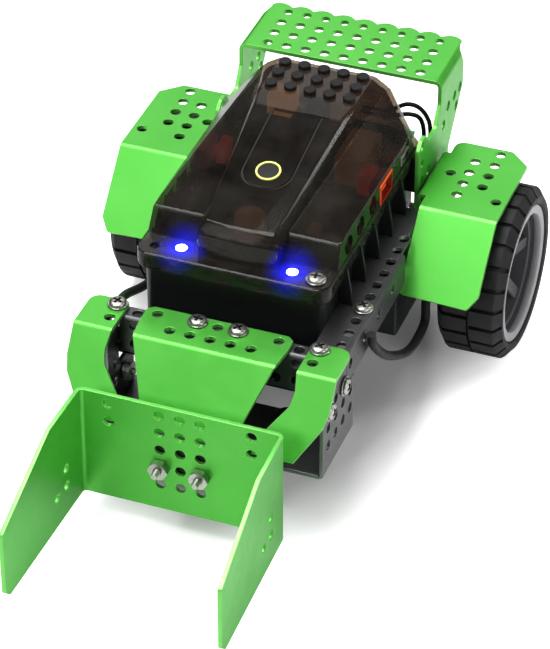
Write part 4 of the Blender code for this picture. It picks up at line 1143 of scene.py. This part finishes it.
# ---------------------------------------------------------------- caster and sensors
def caster():
    socket = BALL_RADIUS + GAP
    mouth = 5.0
    top = BRACKET_Z - GAP
    start = math.asin((mouth - BALL_RADIUS) / socket)
    profile = [(0, top), (9.2, top), (9.5, top - 0.3), (9.5, mouth + 4.0), (9.0, mouth + 1.0), (8.2, mouth)]
    arc_steps = 12
    for step in range(arc_steps):
        turn = start + (QUARTER - start) * step / arc_steps
        profile.append((socket * math.cos(turn), BALL_RADIUS + socket * math.sin(turn)))
    profile.append((0, BALL_RADIUS + socket))
    add_piece("caster_socket", point_along(lathe(profile, 48), (0, CASTER_Y, 0), UP), ["satin"],
              "caster_housing")
    ball = bmesh.new()
    bmesh.ops.create_icosphere(ball, subdivisions=4, radius=BALL_RADIUS)
    moved(ball, 0, CASTER_Y, BALL_RADIUS)
    add_piece("caster_steel_ball", ball, ["steel"], "caster_ball", body="caster_ball_body")


def line_sensor():
    """Board with five emitter domes, a row of chips and two posts."""
    bar_y = -131.0
    parts = [paint(block((-24.0, -136.0, 12.9), (24.0, -126.0, 14.6), 0.2), 1)]
    for x in steps(-16.0, 5):
        dome = lathe([(0, 7.0), (1.4, 7.3), (2.1, 8.2), (2.4, 9.4), (2.4, 13.0), (0, 13.0)], 20)
        parts.append(moved(dome, x, bar_y, 0))
        parts.append(block((x - 1.6, -134.6, 14.5), (x + 1.6, -133.0, 15.2), 0.1))
    for x in (-20.0, 20.0):
        parts.append(moved(cylinder(3.0, 14.5, BRACKET_Z - GAP, 24), x, bar_y, 0))
    add_piece("sensor_bar", join(parts), ["black", "board"], "line_sensor")


def guessed_dark_parts():
    """A dark block behind the front crossbeam, which darkens what shows through its holes, and a flat plate
    in the bracket; both are guesses.
    """
    add_piece("dark_block_behind_crossbeam", block((-43.0, -115.6, 45.0), (43.0, -104.5, 58.0), 1.2, 3), ["satin"])
    pad = rounded(rectangle(21.0, -114.0, 39.0, -104.5), 3.0)
    clip = plate(pad, [circle(33.0, -109.0, 2.4)], 1.4, 0.3)
    add_piece("sensor_clip", moved(clip, 0, 0, BRACKET_Z + SHEET + 1.8), ["satin"])


# ---------------------------------------------------------------- controller
def case_outline(inset):
    """Outline of the controller seen from above: rounded in front, with cut corners behind."""
    x = CASE_X - inset
    rear = CASE_REAR_Y - inset
    corner = REAR_CORNER - inset / 2
    right = [(x, CASE_FRONT_Y + inset), (x, rear - corner), (x - corner, rear)]
    return symmetric(right, {0: 6.0 - inset / 2, 1: 4.0, 2: 4.0})


def cover_solids(inset, low_z, edge):
    """The slab, shoulder and hood of the cover; inset moves their outer faces inwards."""
    base = plate(case_outline(inset), [], FLANGE_Z - inset - low_z, max(edge, 0.05))
    moved(base, 0, 0, FLANGE_Z - inset)
    foot = FLANGE_Z - 1.0 - inset
    shoulder = [
        (38.0, -91.2, foot), (37.3, -86.0, 94.4), (20.0, -86.0, 95.0), (37.9, -9.0, 93.4),
        (37.0, -1.0, 90.0), (25.9, 2.8, 107.0), (23.5, 10.0, 102.0), (38.0, 2.0, foot),
        (30.0, 10.0, foot), (22.5, 16.5, 92.0), (22.5, 17.5, foot),
    ]
    hood = [
        (15.0, -97.0, foot), (16.3, -95.5, 93.2), (13.9, -92.2, 97.2), (17.4, -30.6, 110.1),
        (19.5, -20.0, 110.9), (19.5, 3.0, 110.9), (25.9, 2.8, 107.0), (21.0, 17.5, foot),
        (20.0, 15.0, 95.0), (6.0, -98.3, foot), (6.5, -96.8, 93.4), (5.5, -93.6, 97.6),
    ]
    solids = []
    for points in (shoulder, hood):
        corners = []
        for x, y, z in points:
            y += inset if y < -50 else -inset if y > 5 else 0.0
            z -= inset if z > FLANGE_Z else 0.0
            corners += [(x - inset, y, z), (inset - x, y, z)]
        solids.append(hull(corners, edge))
    return base, solids


TONGUE_HALF = 9.4
TONGUE_LENGTH = 41.0
TONGUE_ROUND = 8.5


def tongue_outline(grow, rear):
    """Flat shape of the button tongue; it starts at its hinge and runs towards -Y."""
    half = TONGUE_HALF + grow
    end = -TONGUE_LENGTH - grow
    points = [(half, rear), (-half, rear), (-half, end), (half, end)]
    return rounded(points, {2: TONGUE_ROUND, 3: TONGUE_ROUND}, 12)


def hood_tilt(bm, lift=0.0):
    """Lay a flat part on the sloped hood, with its rear line on the button's hinge."""
    rise = HOOD_END - HOOD_START
    matrix = Matrix.Translation(HOOD_END) @ Matrix.Rotation(math.atan2(rise.z, rise.y), 4, "X")
    bmesh.ops.transform(moved(bm, 0, 0, lift), matrix=matrix, verts=bm.verts)
    return bm


def slot_shade_strip():
    """A dark U-shaped strip at the bottom of the slot around the tongue: painted shade in the slot."""
    outer = tongue_outline(0.92, 0.0)
    inner = tongue_outline(0.14, 0.0)
    outline = outer[1:] + outer[:1] + inner[:1] + inner[:0:-1]
    return hood_tilt(paint(plate(outline, [], 0.9, 0.05), 1), -0.35)


WINDOW_LOW_Z = 85.8
WINDOW_HIGH_Z = 92.6
SOCKET_Y = (-43.0, -29.0)
SOCKET_Z = (83.4, 92.4)
SIDE_WINDOWS = [  # lowest y, highest y, lowest z, highest z, corner radius
    (-82.0, -74.0, WINDOW_LOW_Z, WINDOW_HIGH_Z, 3.2),
    (-69.0, -61.0, WINDOW_LOW_Z, WINDOW_HIGH_Z, 3.2),
    (-55.0, -47.0, WINDOW_LOW_Z, WINDOW_HIGH_Z, 3.2),
    (SOCKET_Y[0] - 0.3, SOCKET_Y[1] + 0.3, SOCKET_Z[0] - 0.3, SOCKET_Z[1] + 0.3, 0.8),
    (-18.8, -9.2, WINDOW_LOW_Z, WINDOW_HIGH_Z, 1.0),
]


def controller_cover():
    """The smoked shell with its studs, the opening for the tongue and the windows in its sides."""
    outer, uppers = cover_solids(0.0, COVER_Z, 0.9)
    top = high("controller_cover", Z)
    foot = PLATEAU_Z - 0.9
    stud = lathe([(0, foot), (2.45, foot), (2.45, top - 0.25), (2.2, top), (0, top)], 28)
    studs = [moved(stud.copy(), x, y, 0) for x in steps(-2 * PITCH, 5) for y in steps(-16.9, 3)]
    cover = combine(outer, uppers + studs, "UNION")
    inner, inner_uppers = cover_solids(COVER_WALL, COVER_Z - 1.0, 0.0)
    cuts = [inner] + inner_uppers
    cuts.append(hood_tilt(plate(tongue_outline(0.95, 0.1), [], 8.0, 0.05), 4.0))
    for (x, y), radius in ((COVER_SCREW_PLACE, HOLE_RADIUS), (LAMP_PLACE, 2.0)):
        for side in (-1, 1):
            cuts.append(moved(cylinder(radius, FLANGE_Z - 4, FLANGE_Z + 2, 28), side * x, y, 0))
    for low_y, high_y, low_z, high_z, radius in SIDE_WINDOWS:
        window = rounded(rectangle(low_y, low_z, high_y, high_z), radius)
        for side in (-1, 1):
            cutter = plate(window, [], 6.0, 0.05)
            place(cutter, (side * CASE_X + 3.0, 0, 0), BACK, UP)
            cuts.append(cutter)
    cover = combine(cover, cuts, "DIFFERENCE")
    for face in cover.faces:
        face.material_index = 1 if face.calc_center_median().z > PLATEAU_Z + 0.1 else 0
    shell = join([cover, slot_shade_strip()])
    add_piece("cover_shell", shell, ["cover", "stud"], "controller_cover", sharp_angle=24.0)


def start_button():
    """The tongue with its round pad, and the ring around the pad."""
    tongue = paint(plate(tongue_outline(0.0, 0.0), [], COVER_WALL, 0.15), 0)
    pad = paint(lathe([(0, -0.5), (3.9, -0.5), (3.9, 0.25), (3.7, 0.35), (0, 0.35)], 48), 1)
    ring = lathe([(4.1, -0.3), (4.9, -0.3), (4.9, 0.3), (4.75, 0.45), (4.25, 0.45), (4.1, 0.3)], 64)
    for part in (pad, ring):
        moved(part, 0, TONGUE_ROUND - TONGUE_LENGTH, 0)
    body = "start_button_body"
    add_piece("button_tongue", hood_tilt(join([tongue, pad])), ["cover", "stud"], "start_button", body=body)
    # the ring's finish carries painted glow
    add_piece("button_ring", hood_tilt(ring), ["ring"], body=body)


def controller_tray():
    """Open box that hangs between the beams, with thin fins that stand on them beside the cover."""
    half = 35.6
    front = -100.5
    rear = 20.0
    top = COVER_Z - GAP
    bottom = DECK_Z + GAP
    keel = low("controller_tray", Z)
    cut = REAR_CORNER - 2.0

    def box_outline(inset):
        x = half - inset
        points = [
            (-x, front + inset), (x, front + inset), (x, rear - cut), (x - cut, rear - inset),
            (cut - x, rear - inset), (-x, rear - cut),
        ]
        return rounded(points, 3.5, 8)

    wall = 2.0
    tray = moved(plate(box_outline(0.0), [], top - keel, 0.4), 0, 0, top)
    hollow = moved(plate(box_outline(wall), [], top - keel, 0.05), 0, 0, top + wall)
    slot = block((-7.0, rear - 3.0, 69.0), (7.0, rear + 1.0, 74.0), 0.0)
    parts = [paint(combine(tray, [hollow, slot], "DIFFERENCE"), 0)]
    fin = [
        (half - 0.6, bottom), (half - 0.6, top), (41.0, bottom), (41.0, 71.0), (39.2, top + 4.0), (38.9, top),
    ]
    for y in steps(-83.5, 6, 15.7):
        for side in (-1, 1):
            parts.append(hull([(side * x, y + dy, z) for dy in (0.0, 1.1) for x, z in fin], 0.2))
    add_piece("tray_box", join(parts), ["satin"], "controller_tray")


CHIPS = [  # middle x and y, size x and y, foot and height above the board, finish
    (-8, -60, 14, 14, 0, 2.0, 1), (12, -40, 9, 12, 0, 1.6, 1), (-20, -20, 10, 8, 0, 4.0, 1),
    (14, -78, 8, 6, 0, 1.5, 1), (-26, -48, 8, 12, 0, 6.0, 1), (26, -58, 8, 12, 0, 6.0, 1),
    (-30, -31, 4, 9, 0, 8.5, 2), (29, -31, 6, 9, 0, 9.0, 2), (-1, -4, 8, 8, 0, 16.0, 1),
    (1, -28, 12, 8, 0, 8.0, 1), (21, -20, 12, 22, 0, 12.0, 5), (-12, -14, 9, 9, 0, 17.0, 1),
    (-10, -84, 6, 5, 0, 3.0, 4), (20, -66, 5, 8, 0, 3.0, 4), (-24, -72, 7, 5, 0, 3.0, 1),
    (24, -86, 8, 4, 0, 4.0, 1), (-12, -14, 10, 10, 17.0, 25.5, 3), (12, -8, 9, 14, 17.0, 25.5, 5),
]


def circuit_board():
    """Board with plain blocks for the components that show through the cover."""
    parts = [block((-33.0, -94.0, low("circuit_board", Z)), (33.0, 14.0, BOARD_Z), 0.15)]
    for x, y, wide, long, foot, top, finish in CHIPS:
        chip = block((x - wide / 2, y - long / 2, foot), (x + wide / 2, y + long / 2, top))
        parts.append(paint(moved(chip, 0, 0, BOARD_Z), finish))
    parts.append(paint(block((8, -14, BOARD_Z), (14, -2, BOARD_Z + 17.0), 0.2), 1))
    buzzer = lathe([(0, 0), (6.0, 0), (6.0, 8.5), (5.5, 9.0), (1.2, 9.0), (1.2, 8.0), (0, 8.0)], 32)
    parts.append(paint(moved(buzzer, -3.0, -74.0, BOARD_Z), 5))
    # the red, amber and brown finishes carry painted glow
    finishes = ["board", "satin", "red", "amber", "white", "brown"]
    add_piece("board_parts", join(parts), finishes, "circuit_board")


def battery_and_switch():
    """Four cells side by side, and the ribbed knob of the power switch."""
    cells = []
    for x in (-22.0, -7.4, 7.2, 21.8):
        cell = lathe([(0, -46.0), (6.6, -46.0), (7.0, -45.6), (7.0, 45.6), (6.6, 46.0), (0, 46.0)], 32)
        cells.append(point_along(cell, (x, -40.0, 66.0), BACK))
    add_piece("battery_cells", join(cells), ["battery"], "battery_pack")
    knob = block((-4.5, 17.0, 70.0), (0.5, 21.4, 73.0), 0.3)
    ribs = [block((x, 21.0, 70.2), (x + 0.6, 22.2, 72.8), 0.1) for x in steps(-4.0, 4, 1.1)]
    add_piece("switch_knob", join([knob] + ribs), ["satin"], "power_switch", body="power_switch_body")


def lamps():
    """A glowing disc on a dark stem, on each side."""
    for side, label in SIDES:
        stem = cylinder(1.6, BOARD_Z + GAP, FLANGE_Z, 24)
        disc = lathe([(0, 0.03), (2.2, 0.03), (2.2, 0.15), (1.9, 0.3), (0, 0.4)], 32)
        lens = join([moved(disc, 0, 0, FLANGE_Z), paint(stem, 1)])
        moved(lens, side * LAMP_PLACE[0], LAMP_PLACE[1], 0)
        add_piece(f"lamp_lens_{label}", lens, ["led", "stud"], f"led_{label}")


def socket_box(lowest, highest, wall):
    """A socket that opens towards +X. Its inside takes material number 1, which holds painted shade."""
    hollow = block((lowest[0] + 1.2, lowest[1] + wall, lowest[2] + wall),
                   (highest[0] + 1.0, highest[1] - wall, highest[2] - wall), 0.0)
    body = combine(block(lowest, highest, 0.3), [hollow], "DIFFERENCE")
    for face in body.faces:
        centre = face.calc_center_median()
        inside = all(lowest[axis] + 0.5 < centre[axis] < highest[axis] - 0.5 for axis in (Y, Z))
        face.material_index = 1 if inside and centre.x > lowest[0] + 0.5 else 0
    return body


def ports():
    """The orange motor sockets with their keys, and the metal socket."""
    body = socket_box((33.4, SOCKET_Y[0], SOCKET_Z[0]), (CASE_X - 0.25, SOCKET_Y[1], SOCKET_Z[1]), 1.2)
    key_y = sum(SOCKET_Y) / 2
    key = block((35.0, key_y - 3.0, 86.8), (CASE_X - 1.6, key_y + 3.0, 88.2), 0.2)
    add_pair("motor_socket", join([body, key]), ["orange", "socket"], "motor_port")
    shell = socket_box((30.0, -18.4, 86.2), (CASE_X - 0.2, -9.6, 90.6), 0.5)
    tongue = block((33.0, -17.0, 88.0), (CASE_X - 1.0, -11.0, 88.8), 0.1)
    add_piece("usb_socket", join([shell, paint(tongue, 2)]), ["steel", "recess_shade", "white"], "usb_port")


# ---------------------------------------------------------------- cables
def cables():
    """The two motor leads, and the loop of two thin leads behind the cover."""
    right = [
        (51.7, -91.5, 61.0), (52.2, -90.0, 55.0), (54.0, -78.0, 42.0), (56.0, -58.5, 31.0),
        (56.0, -40.0, 30.0), (55.0, -35.0, 36.5), (53.5, -30.0, 46.0), (52.5, -22.0, 56.0),
    ]
    add_piece("motor_lead_right", tube(right, 1.8), ["cable"], "motor_cable_right")
    left = [
        (-47.0, -96.0, 44.0), (-52.5, -88.0, 42.5), (-54.0, -78.0, 42.0), (-54.0, -60.0, 34.0),
        (-50.0, -48.0, 33.0), (-42.0, -44.5, 35.0),
    ]
    add_piece("motor_lead_left", tube(left, 1.8), ["cable"], "motor_cable_left")
    outer = [
        (16.0, 22.4, 80.6), (20.0, 24.0, 82.4), (26.0, 24.2, 86.3), (31.5, 24.2, 85.7),
        (35.4, 24.2, 80.5), (36.2, 24.4, 72.8), (35.6, 25.0, 66.0),
    ]
    inner = [
        (17.0, 22.2, 78.6), (21.6, 24.0, 80.1), (27.4, 24.2, 81.9), (31.6, 24.2, 81.0),
        (33.4, 24.2, 75.7), (33.2, 24.8, 66.5),
    ]
    add_piece("loop_lead", join([tube(outer, 0.9), tube(inner, 0.9)]), ["cable"], "rear_cable")


# ---------------------------------------------------------------- stage, light and camera
HORIZON_LIGHT = 0.55
ZENITH_LIGHT = 1.05
CAMERA_AZIMUTH = math.radians(20.44)
CAMERA_HEIGHT = math.radians(36.93)
CAMERA_DISTANCE = 1.28338
CAMERA_TARGET = SHIFT * MM + Vector((-0.0031, -0.0469, 0.0197))
CAMERA_LENS = 180.63


def add_camera():
    flat = math.cos(CAMERA_HEIGHT)
    back = Vector((
        math.sin(CAMERA_AZIMUTH) * flat, -math.cos(CAMERA_AZIMUTH) * flat, math.sin(CAMERA_HEIGHT)
    ))
    data = bpy.data.cameras.new("camera")
    data.lens = CAMERA_LENS
    camera = add_object("camera", data)
    camera.location = CAMERA_TARGET + back * CAMERA_DISTANCE
    camera.rotation_euler = back.to_track_quat("Z", "Y").to_euler()
    bpy.context.scene.camera = camera


def add_area(name, location, target, size, watts):
    """A rectangular lamp; places are in metres, from the same zero point as the shifted millimetres."""
    data = bpy.data.lights.new(name, "AREA")
    data.shape = "RECTANGLE"
    data.size, data.size_y = size
    data.energy = watts
    light = add_object(name, data)
    light.location = SHIFT * MM + Vector(location)
    light.rotation_euler = (Vector(location) - Vector(target)).to_track_quat("Z", "Y").to_euler()


def overexpose(paper):
    """Let the camera see the floor nearly white, outside an ellipse around the robot's footprint."""
    centre = (SHIFT.x * MM, (SHIFT.y - 45.0) * MM, 0.0)
    half_size = (66.0 * MM, 104.0 * MM, 1.0)
    shift = paper.wire("ShaderNodeVectorMath", {0: paper.place, 1: centre}, "Vector", operation="SUBTRACT")
    scaled = paper.wire("ShaderNodeVectorMath", {0: shift, 1: half_size}, "Vector", operation="DIVIDE")
    reach = paper.wire("ShaderNodeVectorMath", {0: scaled}, "Value", operation="LENGTH")
    plain_until = 0.8
    bright_from = 1.3
    brightness = 0.7
    level = paper.spread(reach, plain_until, bright_from, 0.0, brightness)
    seen = paper.node("ShaderNodeLightPath").outputs["Is Camera Ray"]
    strength = paper.calculate("MULTIPLY", level, seen)
    paper.main.inputs["Emission Color"].default_value = (1.0, 1.0, 1.0, 1.0)
    paper.link(strength, paper.main.inputs["Emission Strength"])


def add_stage():
    """A white floor, a pale sky that is brighter above, and soft studio lights."""
    floor_half_size = 6.0
    bm = bmesh.new()
    bmesh.ops.create_grid(bm, x_segments=1, y_segments=1, size=floor_half_size)
    paper = Shader("paper_white", (0.9, 0.9, 0.9), 0.7)
    paper.bump(paper.noise(2.0, 3.0), 0.02, 0.05)
    overexpose(paper)
    floor = add_object("floor", to_mesh(bm, "floor"))
    floor.data.materials.append(paper.material)
    world = bpy.data.worlds.new("studio")
    world.use_nodes = True
    tree = world.node_tree
    direction = tree.nodes.new("ShaderNodeTexCoord")
    parts = tree.nodes.new("ShaderNodeSeparateXYZ")
    height = tree.nodes.new("ShaderNodeMapRange")
    height.inputs["To Min"].default_value = HORIZON_LIGHT
    height.inputs["To Max"].default_value = ZENITH_LIGHT
    tree.links.new(direction.outputs["Generated"], parts.inputs["Vector"])
    tree.links.new(parts.outputs["Z"], height.inputs["Value"])
    tree.links.new(height.outputs["Result"], tree.nodes["Background"].inputs["Strength"])
    bpy.context.scene.world = world
    add_area("top_softbox", (-0.2, -0.12, 1.0), (0, -0.05, 0.05), (0.9, 0.5), 14.0)
    add_area("front_softbox", (-0.5, -1.05, 0.9), (0, -0.08, 0.05), (0.9, 0.8), 4.4)
    add_area("side_softbox", (1.0, -0.45, 0.6), (0, -0.08, 0.05), (0.6, 0.6), 5.0)
    add_area("rear_softbox", (-0.38, 1.0, 0.85), (0, -0.05, 0.05), (0.8, 0.5), 2.0)
    add_area("rear_strip", (0.72, 0.46, 0.7), (0, -0.05, 0.08), (0.12, 0.6), 2.5)
    bpy.context.scene.view_settings.view_transform = "Standard"


def build():
    chassis_beams()
    front_crossbeam()
    rear_crossbeam()
    front_bracket()
    centre_plate()
    arms()
    scoop()
    scoop_bracket()
    fenders()
    spoiler()
    motors()
    motor_brackets()
    axles()
    tyres()
    rims()
    hubs()
    caster()
    line_sensor()
    guessed_dark_parts()
    controller_cover()
    start_button()
    controller_tray()
    circuit_board()
    battery_and_switch()
    lamps()
    ports()
    cables()
    fasteners()
    add_stage()
    add_camera()


build()
